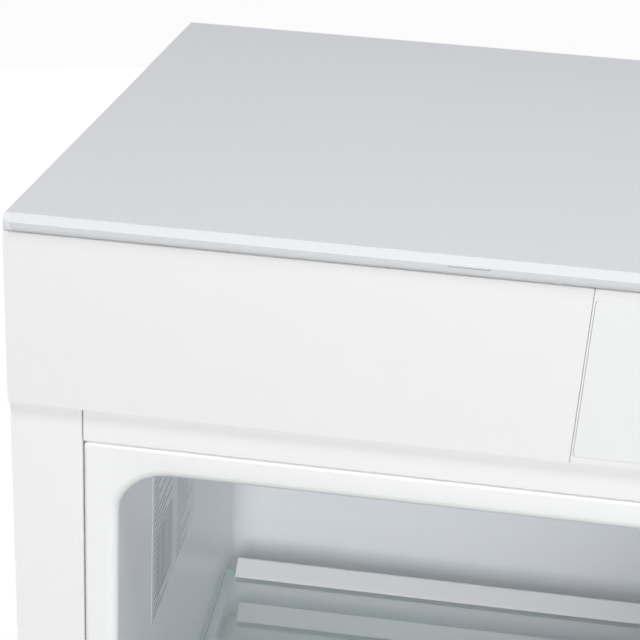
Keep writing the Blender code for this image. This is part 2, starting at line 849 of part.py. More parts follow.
def trim_end(name, side):
    """The end piece of the trim. Its nose falls back to the corner of the top."""
    inner = [(side * (HALF - TRIM_END), y, z) for y, z in trim_profile(NOSE_PROUD)]
    outer = [(side * HALF, y, z) for y, z in trim_profile(0.0)]
    return loft(name, [inner, outer], white_plastic())


def top_board():
    """The laminated board of the top, behind its trim."""
    low = (-HALF, FASCIA_Y + TRIM_DEPTH + GAP, FASCIA_TOP + GAP)
    return box("top_board", low, (HALF, BACK_Y, HEIGHT), worktop_laminate())


def deck():
    """The steel cover over the foam, under the service space behind the fascia."""
    low = (-HALF + SHEET + GAP, FASCIA_BACK + GAP, DECK_LEVEL)
    high = (HALF - SHEET - GAP, BACK_Y - SHEET - GAP, DECK_LEVEL + SHEET)
    return box("deck_plate", low, high, zinc_steel())


def back_panel():
    """The flat cover of the foam at the back, above the machine room."""
    low = (-HALF + BACK_FLANGE + GAP, BACK_Y - SHEET, ROOM_TOP)
    return box("back_panel", low, (HALF - BACK_FLANGE - GAP, BACK_Y, FASCIA_TOP - GAP), painted_steel())


def foot_places():
    """The centres of the levelling feet, by name."""
    places = {}
    for row, y in (("front", FRAME_Y + FOOT_FRONT), ("rear", BACK_Y - FOOT_REAR)):
        for side, sign in (("left", -1), ("right", 1)):
            places[f"foot_{row}_{side}"] = (sign * (HALF - FOOT_INSET_X), y)
    return places


def base_tray():
    """The folded base under the foam. It carries the compressor and takes the feet."""
    low = (-HALF + SHEET + GAP, FRAME_Y + PLINTH_SETBACK + PLINTH_FOOT + GAP, BASE_LEVEL)
    high = (HALF - SHEET - GAP, BACK_Y - SHEET - GAP, BASE_LEVEL + BASE_RIM)
    pan = tray("base_tray", low, high, BASE_SHEET, "+Z", zinc_steel())
    opening = box(
        "opening",
        (low[0] + BACK_FLANGE, high[1] - CUT_MARGIN, BASE_LEVEL + BASE_SHEET + BASE_SILL),
        (high[0] - BACK_FLANGE, high[1] + CUT_MARGIN, high[2] + CUT_MARGIN),
        zinc_steel(),
    )
    cut(pan, opening)
    hole_radius = STEM_RADIUS + PIN_CLEARANCE
    for place in foot_places().values():
        profile = [(hole_radius, BASE_LEVEL - CUT_MARGIN), (hole_radius, BASE_LEVEL + CUT_MARGIN)]
        cut(pan, lathe("hole", profile, place, zinc_steel()))
    return pan


def feet():
    """Four screw feet. Each turns about its own stem."""
    for name, (x, y) in foot_places().items():
        profile = [
            (FOOT_RADIUS - FOOT_CHAMFER, 0.0),
            (FOOT_RADIUS, FOOT_CHAMFER),
            (FOOT_RADIUS, FOOT_PAD - FOOT_CHAMFER),
            (FOOT_RADIUS - FOOT_SLOPE, FOOT_PAD),
            (STEM_RADIUS, FOOT_PAD),
            (STEM_RADIUS, BASE_LEVEL + BASE_RIM - GAP),
        ]
        lathe(name, profile, (x, y), rubber("black_nylon", 0.03))


def plinth():
    """The grille under the lower rail: a louvred panel with a foot that stands on the floor."""
    reach = HALF - SHEET - GAP
    front = FRAME_Y + PLINTH_SETBACK
    foot = PLINTH_FOOT
    outline = [
        (front, 0.0),
        (front + foot, 0.0),
        (front + foot, PLINTH_WALL),
        (front + PLINTH_WALL, PLINTH_WALL),
        (front + PLINTH_WALL, PLINTH_HEIGHT - PLINTH_WALL),
        (front + foot, PLINTH_HEIGHT - PLINTH_WALL),
        (front + foot, PLINTH_HEIGHT),
        (FOAM_FRONT, PLINTH_HEIGHT),
        (FOAM_FRONT, PLINTH_HEIGHT - PLINTH_WALL),
        (front, PLINTH_HEIGHT - PLINTH_WALL),
    ]
    panel = prism("plinth_grille", outline, "X", -reach, reach, white_plastic())
    pitch = 2 * (reach - SLOT_WIDTH) / SLOT_COUNT
    slots = bmesh.new()
    middle = PLINTH_HEIGHT / 2
    for row in range(SLOT_ROWS):
        level = middle + (row - (SLOT_ROWS - 1) / 2) * SLOT_ROW_PITCH
        for index in range(SLOT_COUNT):
            x = (index - (SLOT_COUNT - 1) / 2) * pitch
            made = bmesh.ops.create_cube(slots, size=1.0)["verts"]
            bmesh.ops.scale(slots, vec=(SLOT_WIDTH, 4 * PLINTH_WALL, SLOT_HEIGHT), verts=made)
            bmesh.ops.translate(slots, vec=(x, front + PLINTH_WALL / 2, level), verts=made)
    return cut(panel, new_object("slots", slots, white_plastic()))


def build_cabinet():
    """The casing, its liner and everything that stands on the floor."""
    side_panel("side_panel_left", -1)
    side_panel("side_panel_right", 1)
    upper_rail()
    lower_rail()
    liner()
    insulation()
    deck()
    top_board()
    front_trim()
    trim_end("trim_end_left", -1)
    trim_end("trim_end_right", 1)
    fascia("fascia_panel", -1)
    control_panel()
    overlay()
    back_panel()
    base_tray()
    feet()
    plinth()


def door_pivot():
    """The empty on the hinge axis that carries the whole door."""
    pivot = bpy.data.objects.new("door_pivot", None)
    bpy.context.scene.collection.objects.link(pivot)
    pivot.location = (HINGE_X, HINGE_Y, DOOR_BOTTOM)
    pivot.rotation_euler = (0.0, 0.0, math.radians(DOOR_OPEN_DEGREES))
    return pivot


def hang(made, pivot):
    """Moves a piece that was modelled in the closed position onto the pivot."""
    made.data.transform(Matrix.Translation((-HINGE_X, -HINGE_Y, -DOOR_BOTTOM)))
    made.parent = pivot
    return made


def grip_bounds(grow=0.0):
    """The pocket for the fingers in the free edge of the door."""
    middle_y = (DOOR_INNER_Y + DOOR_OUTER_Y) / 2
    middle_z = DOOR_TOP - GRIP_FROM_TOP - GRIP_LENGTH / 2
    across, up = GRIP_WIDTH / 2 + grow, GRIP_LENGTH / 2 + grow
    low = (-DOOR_HALF - CUT_MARGIN, middle_y - across, middle_z - up)
    high = (-DOOR_HALF + GRIP_DEPTH + grow, middle_y + across, middle_z + up)
    return low, high


def door_section():
    """The folded section of the door's skin, seen from above: points and outer bend radii."""
    points = [
        (-DOOR_HALF + DOOR_RETURN, DOOR_INNER_Y),
        (-DOOR_HALF, DOOR_INNER_Y),
        (-DOOR_HALF, DOOR_OUTER_Y),
        (DOOR_HALF, DOOR_OUTER_Y),
        (DOOR_HALF, DOOR_INNER_Y),
        (DOOR_HALF - DOOR_RETURN, DOOR_INNER_Y),
    ]
    return points, [BEND_RADIUS, 2 * BEND_RADIUS, 2 * BEND_RADIUS, BEND_RADIUS]


def door_skin():
    """The folded steel front of the door with its side walls and inner returns."""
    points, radii = door_section()
    low, high = DOOR_BOTTOM + DOOR_CAP + GAP, DOOR_TOP - DOOR_CAP - GAP
    skin = folded_sheet("door_skin", points, radii, "Z", low, high, painted_steel())
    pocket = grip_bounds(GRIP_WALL + GAP)
    return cut(skin, box("pocket", pocket[0], pocket[1], painted_steel()))


def door_cap(name, low, open_side):
    """A plastic cap that closes one end of the door and holds its hinge bush."""
    high = low + DOOR_CAP
    cap = tray(
        name,
        (-DOOR_HALF, DOOR_OUTER_Y, low),
        (DOOR_HALF, DOOR_INNER_Y, high),
        DOOR_CAP_WALL,
        open_side,
        white_plastic(),
    )
    boss_low, boss_high = (low, low + PIN_REACH) if open_side == "+Z" else (high - PIN_REACH, high)
    boss = [(2 * PIN_RADIUS, boss_low + GAP), (2 * PIN_RADIUS, boss_high - GAP)]
    join(cap, lathe("boss", boss, (HINGE_X, HINGE_Y), white_plastic(), steps=ROUND_STEPS))
    bore_radius = PIN_RADIUS + PIN_CLEARANCE
    bore = [(bore_radius, low - CUT_MARGIN), (bore_radius, high + CUT_MARGIN)]
    return cut(cap, lathe("bore", bore, (HINGE_X, HINGE_Y), white_plastic(), steps=ROUND_STEPS))


def door_foam():
    """The foam slab that fills the door's skin."""
    points, radii = door_section()
    outline = offset_path(rounded_path(points, radii), SHEET + GAP)
    low, high = DOOR_BOTTOM + DOOR_CAP + GAP, DOOR_TOP - DOOR_CAP - GAP
    slab = prism("door_foam", [tuple(point) for point in outline], "Z", low, high, foam())
    pocket = grip_bounds(GRIP_WALL + GAP)
    return cut(slab, box("pocket", pocket[0], pocket[1], foam()))


def door_grip():
    """The moulded finger pocket let into the free edge."""
    low, high = grip_bounds(GRIP_WALL)
    low = (-DOOR_HALF, low[1], low[2])
    cup = box("door_grip", low, high, white_plastic())
    pocket = grip_bounds()
    return cut(cup, box("pocket", pocket[0], pocket[1], white_plastic()))


def dyke_outside():
    """Distance from the door's side edge to the outer foot of the raised rim."""
    return DOOR_HALF - OPENING_HALF + DYKE_CLEARANCE


def door_ring(inset, y):
    """One ring of the door's inner side, at a distance inside its side edges.

    At the top and bottom the rings lie nearer to the edge, so that the rim clears the opening there too.
    """
    outside = dyke_outside()
    share = min(max((inset - DOOR_LINER_MARGIN) / (outside - DOOR_LINER_MARGIN), 0.0), 1.0)
    near_edge = DOOR_LINER_MARGIN - DOOR_LINER_END_MARGIN
    top_at_rim = outside - (DOOR_TOP - OPENING_TOP + DYKE_CLEARANCE)
    bottom_at_rim = outside - (OPENING_BOTTOM - DOOR_BOTTOM + DYKE_CLEARANCE)
    shift_top = near_edge + (top_at_rim - near_edge) * share
    shift_bottom = near_edge + (bottom_at_rim - near_edge) * share
    low = (-DOOR_HALF + inset, DOOR_BOTTOM + inset - shift_bottom)
    high = (DOOR_HALF - inset, DOOR_TOP - inset + shift_top)
    radius = DOOR_CORNER_RADIUS + inset / 8
    return [(x, y, z) for x, z in rectangle_ring(low, high, radius, DOOR_RING_STEPS)]


def door_liner():
    """The vacuum-formed inside of the door, with the raised rim that carries the racks."""
    level = DOOR_INNER_Y + GAP
    outside = dyke_outside()
    inside = outside + DYKE_WIDTH
    path = [
        (DOOR_LINER_MARGIN, level),
        (outside, level),
        (outside + DYKE_DRAFT, level + DYKE_RISE),
        (inside - DYKE_DRAFT, level + DYKE_RISE),
        (inside, level + DOOR_LINER_WALL),
        (inside + DOOR_PANEL_MARGIN, level + DOOR_LINER_WALL),
    ]
    radii = [DYKE_RADIUS / 2, DYKE_RADIUS, DYKE_RADIUS, DYKE_RADIUS / 2]
    path = rounded_path(path, radii, DYKE_STEPS)
    outer = offset_path(path, DOOR_LINER_WALL)
    rings = [door_ring(inset, y) for inset, y in reversed(path)]
    rings += [door_ring(inset, y) for inset, y in outer]
    liner_shell = loft("door_liner", rings, liner_plastic())
    for level_z in (BOTTLE_RACK_LEVEL, MIDDLE_RACK_LEVEL, UPPER_RACK_LEVEL):
        for side in (-1, 1):
            join(liner_shell, rack_stud(side, level_z))
    return smooth(liner_shell)


def rack_reach():
    """Half the room between the two upright runs of the raised rim."""
    return DOOR_HALF - dyke_outside() - DYKE_WIDTH


def rack_stud(side, level_z):
    """A moulded stud on the rim, which a door rack hangs on."""
    reach = rack_reach()
    y = DOOR_INNER_Y + DYKE_RISE / 2
    circle = arc((y, level_z), STUD_RADIUS, 0, 360, COARSE_STEPS)[:-1]
    ends = (reach + DYKE_DRAFT / 2 + SINK, reach - STUD_LENGTH)
    rings = [[(side * x, u, v) for u, v in circle] for x in ends]
    return loft("stud", rings, liner_plastic())


def gasket():
    """The soft magnetic seal round the inside of the door."""
    back = DOOR_INNER_Y + GAP
    front = FRAME_Y - GAP
    middle = GASKET_INSET + GASKET_WIDTH / 2
    half = GASKET_WIDTH / 2
    waist = (back + front) / 2 + GASKET_WAIST_RISE
    profile = [
        (middle - half, back + DOOR_LINER_WALL + GAP),
        (middle + half, back + DOOR_LINER_WALL + GAP),
        (middle + half * GASKET_WAIST, waist),
        (middle + half, front - GASKET_LIP),
        (middle + half * GASKET_CROWN, front),
        (middle - half * GASKET_CROWN, front),
        (middle - half, front - GASKET_LIP),
        (middle - half * GASKET_WAIST, waist),
    ]
    rings = [door_ring(inset, y) for inset, y in profile]
    return smooth(loft("door_gasket", rings, rubber("gasket_rubber", 0.78), closed=True))


def rack(name, level, height):
    """A door rack: a tub with a lower front and a recess at each end for its stud."""
    reach = rack_reach() - RACK_SIDE_GAP
    back = DOOR_INNER_Y + 2 * DOOR_LINER_WALL + 2 * GAP
    front = back + RACK_DEPTH
    bottom = level - STUD_RADIUS - RACK_UNDER_STUD
    rings = []
    for grow, rise, foot in ((0.0, 0.0, 1), (0.0, 0.0, 0), (-RACK_WALL, 0.0, 0), (-RACK_WALL, RACK_WALL, 1)):
        taper = RACK_TAPER * foot
        low = (-reach - grow + taper, back - grow)
        high = (reach + grow - taper, front + grow - taper)
        ring = []
        for x, y in rectangle_ring(low, high, RACK_CORNER + grow):
            share = min(max((y - back) / RACK_DEPTH, 0.0), 1.0)
            rim = bottom + height * (RACK_BACK_SHARE + (RACK_FRONT_SHARE - RACK_BACK_SHARE) * share)
            ring.append((x, y, bottom + rise if foot else rim))
        rings.append(ring)
    tub = loft(name, rings, clear_plastic())
    for side in (-1, 1):
        ends = sorted((side * (reach - STUD_LENGTH - SINK), side * (reach + CUT_MARGIN)))
        low = (ends[0], DOOR_INNER_Y, bottom - CUT_MARGIN)
        high = (ends[1], DOOR_INNER_Y + DYKE_RISE / 2 + STUD_RADIUS + GAP, level + STUD_RADIUS + GAP)
        cut(tub, box("slot", low, high, clear_plastic()))
    return smooth(tub)


def hinge_bracket(name, top):
    """A steel angle on the front frame, with a round nose over the door's hinge bush."""
    if top:
        level = DOOR_TOP + BRACKET_GAP
        leg_low, leg_high = level, RAIL_TOP - GAP
    else:
        level = DOOR_BOTTOM - BRACKET_GAP - BRACKET_PLATE
        leg_high = level + BRACKET_PLATE
        leg_low = leg_high - LOWER_LEG_SHARE * BRACKET_LEG
    back = FRAME_Y - GAP
    end = HALF - BRACKET_INSET
    start = end - BRACKET_LENGTH
    outline = [(start, back), (end, back)]
    outline += arc((HINGE_X, HINGE_Y), BRACKET_NOSE_RADIUS, 0, -180, BRACKET_NOSE_STEPS)
    plate = prism(name, outline, "Z", level, level + BRACKET_PLATE, zinc_steel())
    leg = box("leg", (start, back - BRACKET_PLATE, leg_low), (end, back, leg_high), zinc_steel())
    join(plate, leg)
    bore = [(PIN_RADIUS + GAP, level - CUT_MARGIN), (PIN_RADIUS + GAP, level + CUT_MARGIN)]
    return cut(plate, lathe("bore", bore, (HINGE_X, HINGE_Y), zinc_steel(), steps=ROUND_STEPS))


def hinge_pin(name, top):
    """A headed pin through the bracket into the door's bush."""
    way = 1 if top else -1
    door_end = DOOR_TOP if top else DOOR_BOTTOM
    tip = door_end - way * (PIN_REACH - SINK)
    plate = door_end + way * (BRACKET_GAP + BRACKET_PLATE)
    head_radius = PIN_RADIUS + PIN_HEAD_RIM
    profile = [
        (PIN_RADIUS - PIN_TIP_CHAMFER, tip),
        (PIN_RADIUS, tip + way * PIN_TIP_CHAMFER),
        (PIN_RADIUS, plate + way * GAP),
        (head_radius, plate + way * GAP),
        (head_radius, plate + way * PIN_HEAD),
    ]
    return lathe(name, profile, (HINGE_X, HINGE_Y), zinc_steel(), steps=ROUND_STEPS)


def build_door():
    """The door on its pivot, and the hinges on the frame."""
    pivot = door_pivot()
    pieces = [
        door_skin(),
        door_cap("door_cap_top", DOOR_TOP - DOOR_CAP, "-Z"),
        door_cap("door_cap_bottom", DOOR_BOTTOM, "+Z"),
        door_foam(),
        door_grip(),
        door_liner(),
        gasket(),
        rack("bottle_rack", BOTTLE_RACK_LEVEL, BOTTLE_RACK_HEIGHT),
        rack("middle_rack", MIDDLE_RACK_LEVEL, MIDDLE_RACK_HEIGHT),
        rack("upper_rack", UPPER_RACK_LEVEL, UPPER_RACK_HEIGHT),
    ]
    for piece in pieces:
        hang(piece, pivot)
    for name, top in (("upper", True), ("lower", False)):
        hinge_bracket(f"{name}_hinge_bracket", top)
        hinge_pin(f"{name}_hinge_pin", top)


def glass_shelf(name, level, depth):
    """A glass plate with a channel along its front edge and a stop along its back edge."""
    reach = OPENING_HALF - SLIDE_CLEARANCE
    rear = SHELF_FRONT + depth
    box(name, (-reach, SHELF_FRONT, level), (reach, rear, level + GLASS), glass())
    middle = level + GLASS / 2
    slot = GLASS / 2 + GAP
    for end, y, direction in (("front", SHELF_FRONT, 1), ("rear", rear, -1)):
        stop = TRIM_CHANNEL_HEIGHT if end == "rear" else TRIM_CHANNEL_HEIGHT / 2
        outline = [
            (y - direction * CHANNEL_WALL, middle - TRIM_CHANNEL_HEIGHT / 2),
            (y - direction * CHANNEL_WALL, middle + stop),
            (y - direction * GAP, middle + stop),
            (y + direction * TRIM_CHANNEL_DEPTH, middle + slot + CHANNEL_WALL),
            (y + direction * TRIM_CHANNEL_DEPTH, middle + slot),
            (y - direction * GAP, middle + slot),
            (y - direction * GAP, middle - slot),
            (y + direction * TRIM_CHANNEL_DEPTH, middle - slot),
            (y + direction * TRIM_CHANNEL_DEPTH, middle - slot - CHANNEL_WALL),
        ]
        inset = reach - LEDGE_WIDTH
        prism(f"{name}_{end}_trim", outline, "X", -inset, inset, white_plastic())


def drawer(name, side):
    """A crisper drawer: a drafted tub with a pull along its front rim."""
    outer = OPENING_HALF - DRAWER_SIDE_GAP
    inner = DRAWER_SPACING / 2
    bottom = OPENING_BOTTOM + GAP
    top = COVER_LEVEL - TRIM_CHANNEL_HEIGHT / 2 - DRAWER_TOP_GAP
    rings = []
    levels = [
        (0.0, bottom, DRAWER_DRAFT),
        (0.0, bottom + DRAWER_FOOT_RISE, DRAWER_DRAFT - DRAWER_FOOT_RISE),
        (0.0, top - DRAWER_RIM, DRAWER_RIM_DRAFT),
        (0.0, top, 0.0),
        (-DRAWER_WALL, top, 0.0),
        (-DRAWER_WALL, top - DRAWER_RIM, DRAWER_RIM_DRAFT),
        (-DRAWER_WALL, bottom + DRAWER_WALL, DRAWER_DRAFT),
    ]
    for grow, level, draft in levels:
        floor_extra = DRAWER_FLOOR_EXTRA * draft / DRAWER_DRAFT
        low = (inner + draft - grow, DRAWER_FRONT + draft - grow)
        high = (outer - draft - floor_extra + grow, DRAWER_BACK - draft + grow)
        ring = rectangle_ring(low, high, DRAWER_CORNER + grow)
        rings.append([(side * x, y, level) for x, y in ring])
    tub = loft(name, rings, clear_plastic())
    middle = side * (outer + inner) / 2
    rim = top - PULL_DROP
    nose = DRAWER_FRONT - PULL_DEPTH
    hook = [
        (DRAWER_FRONT + SINK, rim),
        (nose, rim),
        (nose, rim - PULL_HEIGHT),
        (nose + DRAWER_WALL, rim - PULL_HEIGHT),
        (nose + DRAWER_WALL, rim - DRAWER_WALL),
        (DRAWER_FRONT + SINK, rim - DRAWER_WALL),
    ]
    pull = prism("pull", hook, "X", middle - PULL_LENGTH / 2, middle + PULL_LENGTH / 2, clear_plastic())
    return smooth(join(tub, pull))


def lamp():
    """The lamp on the right wall: a shallow housing and its diffuser."""
    wall = OPENING_HALF - GAP
    start = FRAME_Y + LAMP_FROM_FRONT
    bottom = OPENING_TOP - OPENING_RADIUS - LAMP_HEIGHT - LAMP_FROM_CORNER
    low = (wall - LAMP_DEPTH, start, bottom)
    high = (wall, start + LAMP_LENGTH, bottom + LAMP_HEIGHT)
    tray("lamp_housing", low, high, LAMP_WALL, "-X", white_plastic())
    inset = LAMP_WALL + GAP
    box(
        "lamp_diffuser",
        (low[0] - DIFFUSER_PROUD, low[1] + inset, low[2] + inset),
        (low[0] + DIFFUSER_SINK, high[1] - inset, high[2] - inset),
        material("diffuser", (0.9, 0.9, 0.88), 0.5),
        bevel=DIFFUSER_EDGE,
    )


def key_outline(x, z, grow=0.0):
    """The rounded outline of a key, or of its hole, round a centre."""
    across, up = KEY_WIDTH / 2 + grow, KEY_HEIGHT / 2 + grow
    return rectangle_ring((x - across, z - up), (x + across, z + up), KEY_RADIUS + grow, KEY_STEPS)


def keys():
    """Three push keys in the control panel, with their board on two posts behind them."""
    low, high = overlay_bounds()
    level = (low[1] + high[1]) / 2
    names = ("power_key", "cooling_key", "fast_cool_key")
    places = [high[0] - KEY_FROM_END - index * KEY_PITCH for index in range(len(names))]
    wall_back = FASCIA_Y + FASCIA_WALL
    board_front = wall_back + KEY_BOARD_GAP
    panel = bpy.data.objects["control_panel"]
    plate = bpy.data.objects["control_overlay"]
    for name, x in zip(names, places):
        hole = key_outline(x, level, GAP)
        for piece in (panel, plate):
            cut(piece, prism("hole", hole, "Y", FASCIA_Y - CUT_MARGIN, wall_back + SINK, white_plastic()))
        back = board_front - KEY_TRAVEL - GAP
        smooth(prism(name, key_outline(x, level), "Y", FASCIA_Y - KEY_PROUD, back, white_plastic()))
    posts = (places[-1] - KEY_PITCH, places[0] + POST_FROM_KEY)
    for x in posts:
        post_low = (x - POST_WIDTH / 2, wall_back - SINK, level - KEY_HEIGHT / 2)
        post_high = (x + POST_WIDTH / 2, board_front - GAP, level + KEY_HEIGHT / 2)
        join(panel, box("post", post_low, post_high, white_plastic()))
    box(
        "control_board",
        (posts[0] - BOARD_MARGIN, board_front, level - BOARD_HEIGHT / 2),
        (posts[1] + BOARD_MARGIN, board_front + BOARD_THICKNESS, level + BOARD_HEIGHT / 2),
        material("circuit_board", (0.05, 0.22, 0.10), 0.5),
    )


def module():
    """The power module in the service space over the foam."""
    level = DECK_LEVEL + SHEET
    right, back = HALF - MODULE_FROM_SIDE, BACK_Y - MODULE_FROM_BACK
    low = (right - MODULE_WIDTH, back - MODULE_DEPTH, level + GAP)
    high = (right, back, level + MODULE_HEIGHT)
    box("power_module", low, high, material("module_plastic", (0.25, 0.26, 0.28), 0.5), bevel=MODULE_EDGE)


def compressor_profile():
    """The (radius, z) outline of the shell: a bowl, a straight wall, the weld's rim and the dome."""
    radius = COMPRESSOR_RADIUS
    rim_top = COMPRESSOR_SEAM_TOP - SINK
    rim_bottom = rim_top - 2 * COMPRESSOR_SEAM_HALF
    profile = [
        (radius * COMPRESSOR_FOOT_SHARE, COMPRESSOR_BASE + SINK),
        (radius * COMPRESSOR_BOWL_SHARE, COMPRESSOR_BASE + COMPRESSOR_BOWL_RISE),
        (radius * COMPRESSOR_WALL_SHARE, COMPRESSOR_BASE + COMPRESSOR_WALL_RISE),
        (radius, rim_bottom - SINK),
        (radius + COMPRESSOR_SEAM_RIM, rim_bottom),
        (radius + COMPRESSOR_SEAM_RIM, rim_top),
        (radius, COMPRESSOR_SEAM_TOP),
    ]
    for degrees in COMPRESSOR_DOME_DEGREES:
        angle = math.radians(degrees)
        level = COMPRESSOR_SEAM_TOP + COMPRESSOR_DOME * math.sin(angle)
        profile.append((radius * math.cos(angle), level))
    return profile


def compressor():
    """The welded steel shell of the compressor on its mounting plate, with its grommets and relay."""
    x, y, base = COMPRESSOR_X, COMPRESSOR_Y, COMPRESSOR_BASE
    look = black_enamel()
    shell = lathe("compressor", compressor_profile(), (x, y), look, None, FINE_STEPS, COMPRESSOR_STRETCH)
    across, deep = GROMMET_X + MOUNT_MARGIN, GROMMET_Y + MOUNT_MARGIN
    plate = box("plate", (x - across, y - deep, base), (x + across, y + deep, base + MOUNT_PLATE), look)
    join(shell, plate)
    relay_x = x + (COMPRESSOR_RADIUS + COMPRESSOR_SEAM_RIM) * COMPRESSOR_STRETCH + RELAY_GAP
    neck_low = (x + COMPRESSOR_RADIUS, y - NECK_WIDTH / 2, base + NECK_RISE)
    neck_high = (relay_x - GAP, y + NECK_WIDTH / 2, base + NECK_RISE + NECK_HEIGHT)
    join(shell, box("neck", neck_low, neck_high, look))
    relay_low = (relay_x, y - RELAY_DEPTH / 2, base + RELAY_RISE)
    relay_high = (relay_x + RELAY_WIDTH, y + RELAY_DEPTH / 2, base + RELAY_RISE + RELAY_HEIGHT)
    relay_look = material("relay_plastic", (0.03, 0.03, 0.03), 0.5)
    box("relay_cover", relay_low, relay_high, relay_look, bevel=RELAY_EDGE)
    corners = ((-1, -1), (1, -1), (-1, 1), (1, 1))
    for index, (side, row) in enumerate(corners, start=1):
        grommet(f"compressor_grommet_{index}", (x + side * GROMMET_X, y + row * GROMMET_Y))


def grommet(name, centre):
    """A rubber grommet with a waist, between the base tray and the mounting plate."""
    low = BASE_LEVEL + BASE_SHEET + GAP
    high = low + GROMMET_HEIGHT
    profile = [
        (GROMMET_RADIUS - GROMMET_CHAMFER, low),
        (GROMMET_RADIUS, low + GROMMET_LIP),
        (GROMMET_WAIST_RADIUS, (low + high) / 2),
        (GROMMET_RADIUS, high - GROMMET_LIP),
        (GROMMET_RADIUS - GROMMET_CHAMFER, high),
    ]
    return lathe(name, profile, centre, rubber("black_rubber", 0.04))


def evaporation_tray():
    """The tray on the compressor that the defrost water dries in, and the spout over it."""
    x, y = COMPRESSOR_X, COMPRESSOR_Y
    crown = COMPRESSOR_SEAM_TOP + COMPRESSOR_DOME * math.sin(math.radians(COMPRESSOR_DOME_DEGREES[-1]))
    low = crown + GAP
    rim = low + TRAY_HEIGHT
    rings = []
    for grow, level in (
        (-TRAY_DRAFT, low),
        (0.0, rim),
        (-TRAY_WALL, rim),
        (-TRAY_DRAFT - TRAY_WALL, low + TRAY_WALL),
    ):
        across, deep = TRAY_X + grow, TRAY_Y + grow
        ring = rectangle_ring((x - across, y - deep), (x + across, y + deep), TRAY_CORNER + grow)
        rings.append([(u, v, level) for u, v in ring])
    smooth(loft("evaporation_tray", rings, material("tray_plastic", (0.10, 0.10, 0.11), 0.5)))
    drain = [
        (DRAIN_TIP_RADIUS, rim - DRAIN_TIP_DROP),
        (DRAIN_RADIUS, ROOM_TOP - 2 * DRAIN_COLLAR),
        (DRAIN_COLLAR_RADIUS, ROOM_TOP - DRAIN_COLLAR),
        (DRAIN_COLLAR_RADIUS, ROOM_TOP - GAP),
    ]
    lathe("drain_spout", drain, (x, y), white_plastic())


def blocks(name, size, places, look):
    """Equal blocks round a list of centres, as one object."""
    bm = bmesh.new()
    for place in places:
        made = bmesh.ops.create_cube(bm, size=1.0)["verts"]
        bmesh.ops.scale(bm, vec=size, verts=made)
        bmesh.ops.translate(bm, vec=place, verts=made)
    return new_object(name, bm, look)


def condenser():
    """The wire-on-tube condenser: one snaking tube with upright wires welded across it."""
    low_z, high_z = ROOM_TOP + CONDENSER_FROM_ROOM, FASCIA_TOP - CONDENSER_FROM_TOP
    centre = BACK_Y + CONDENSER_GAP + CONDENSER_TUBE
    pitch = (high_z - low_z) / CONDENSER_PASSES
    reach = CONDENSER_HALF - pitch / 2
    points = []
    for index in range(CONDENSER_PASSES):
        level = high_z - (index + 0.5) * pitch
        side = 1 if index % 2 == 0 else -1
        points += [(-side * reach, centre, level), (side * reach, centre, level)]
        if index < CONDENSER_PASSES - 1:
            bend = arc((0.0, level - pitch / 2), pitch / 2, 90, -90, CONDENSER_BEND_STEPS)[1:-1]
            points += [(side * (reach + u), centre, v) for u, v in bend]
    body = tube("condenser", points, CONDENSER_TUBE, black_enamel(), sides=CONDENSER_SIDES)
    middle = (high_z + low_z) / 2
    first, last = high_z - pitch / 2, low_z + pitch / 2
    wire_size = (CONDENSER_WIRE, CONDENSER_WIRE, first - last + WIRE_MARGIN)
    wire_y = centre + CONDENSER_TUBE + CONDENSER_WIRE / 5
    wire_step = 2 * (reach - WIRE_MARGIN) / (CONDENSER_WIRES - 1)
    wire_places = [
        ((index - (CONDENSER_WIRES - 1) / 2) * wire_step, wire_y, middle) for index in range(CONDENSER_WIRES)
    ]
    join(body, blocks("wires", wire_size, wire_places, black_enamel()))
    standoff_size = (STANDOFF_WIDTH, CONDENSER_GAP + CONDENSER_TUBE - GAP, STANDOFF_HEIGHT)
    standoff_y = BACK_Y + GAP + standoff_size[1] / 2
    standoff_x = reach - STANDOFF_FROM_BEND
    standoff_places = [(side * standoff_x, standoff_y, level) for side in (-1, 1) for level in (first, last)]
    return join(body, blocks("standoffs", standoff_size, standoff_places, black_enamel()))


def power_inlet():
    """The mains inlet on the side wall of the machine room, with its socket open to the back."""
    low = (-HALF + SHEET + GAP, BACK_Y - INLET_FROM_BACK - INLET_DEPTH, ROOM_TOP - INLET_FROM_ROOM_TOP)
    high = (low[0] + INLET_WIDTH, low[1] + INLET_DEPTH, low[2] + INLET_HEIGHT)
    look = material("inlet_plastic", (0.04, 0.04, 0.04), 0.5)
    inlet = box("power_inlet", low, high, look, bevel=INLET_EDGE)
    x, z = (low[0] + high[0]) / 2, (low[2] + high[2]) / 2
    socket = box(
        "socket",
        (x - SOCKET_WIDTH / 2, high[1] - SOCKET_DEPTH, z - SOCKET_HEIGHT / 2),
        (x + SOCKET_WIDTH / 2, high[1] + CUT_MARGIN, z + SOCKET_HEIGHT / 2),
        look,
    )
    return cut(inlet, socket)


def build_fittings():
    """What sits in the cavity and behind the fascia."""
    glass_shelf("glass_shelf", SHELF_LEVEL, SHELF_DEPTH)
    glass_shelf("crisper_cover", COVER_LEVEL, COVER_DEPTH)
    drawer("crisper_left", -1)
    drawer("crisper_right", 1)
    lamp()
    keys()
    module()


def build_machine():
    """What sits in the machine room and on the back."""
    compressor()
    evaporation_tray()
    condenser()
    power_inlet()


def main():
    for old in list(bpy.data.objects):
        bpy.data.objects.remove(old)
    build_cabinet()
    build_fittings()
    build_machine()
    build_door()


main()
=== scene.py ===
import json
import logging
import math
from dataclasses import dataclass, field
from enum import Enum
from typing import Callable

import bmesh
import bpy
from mathutils import Matrix, Vector

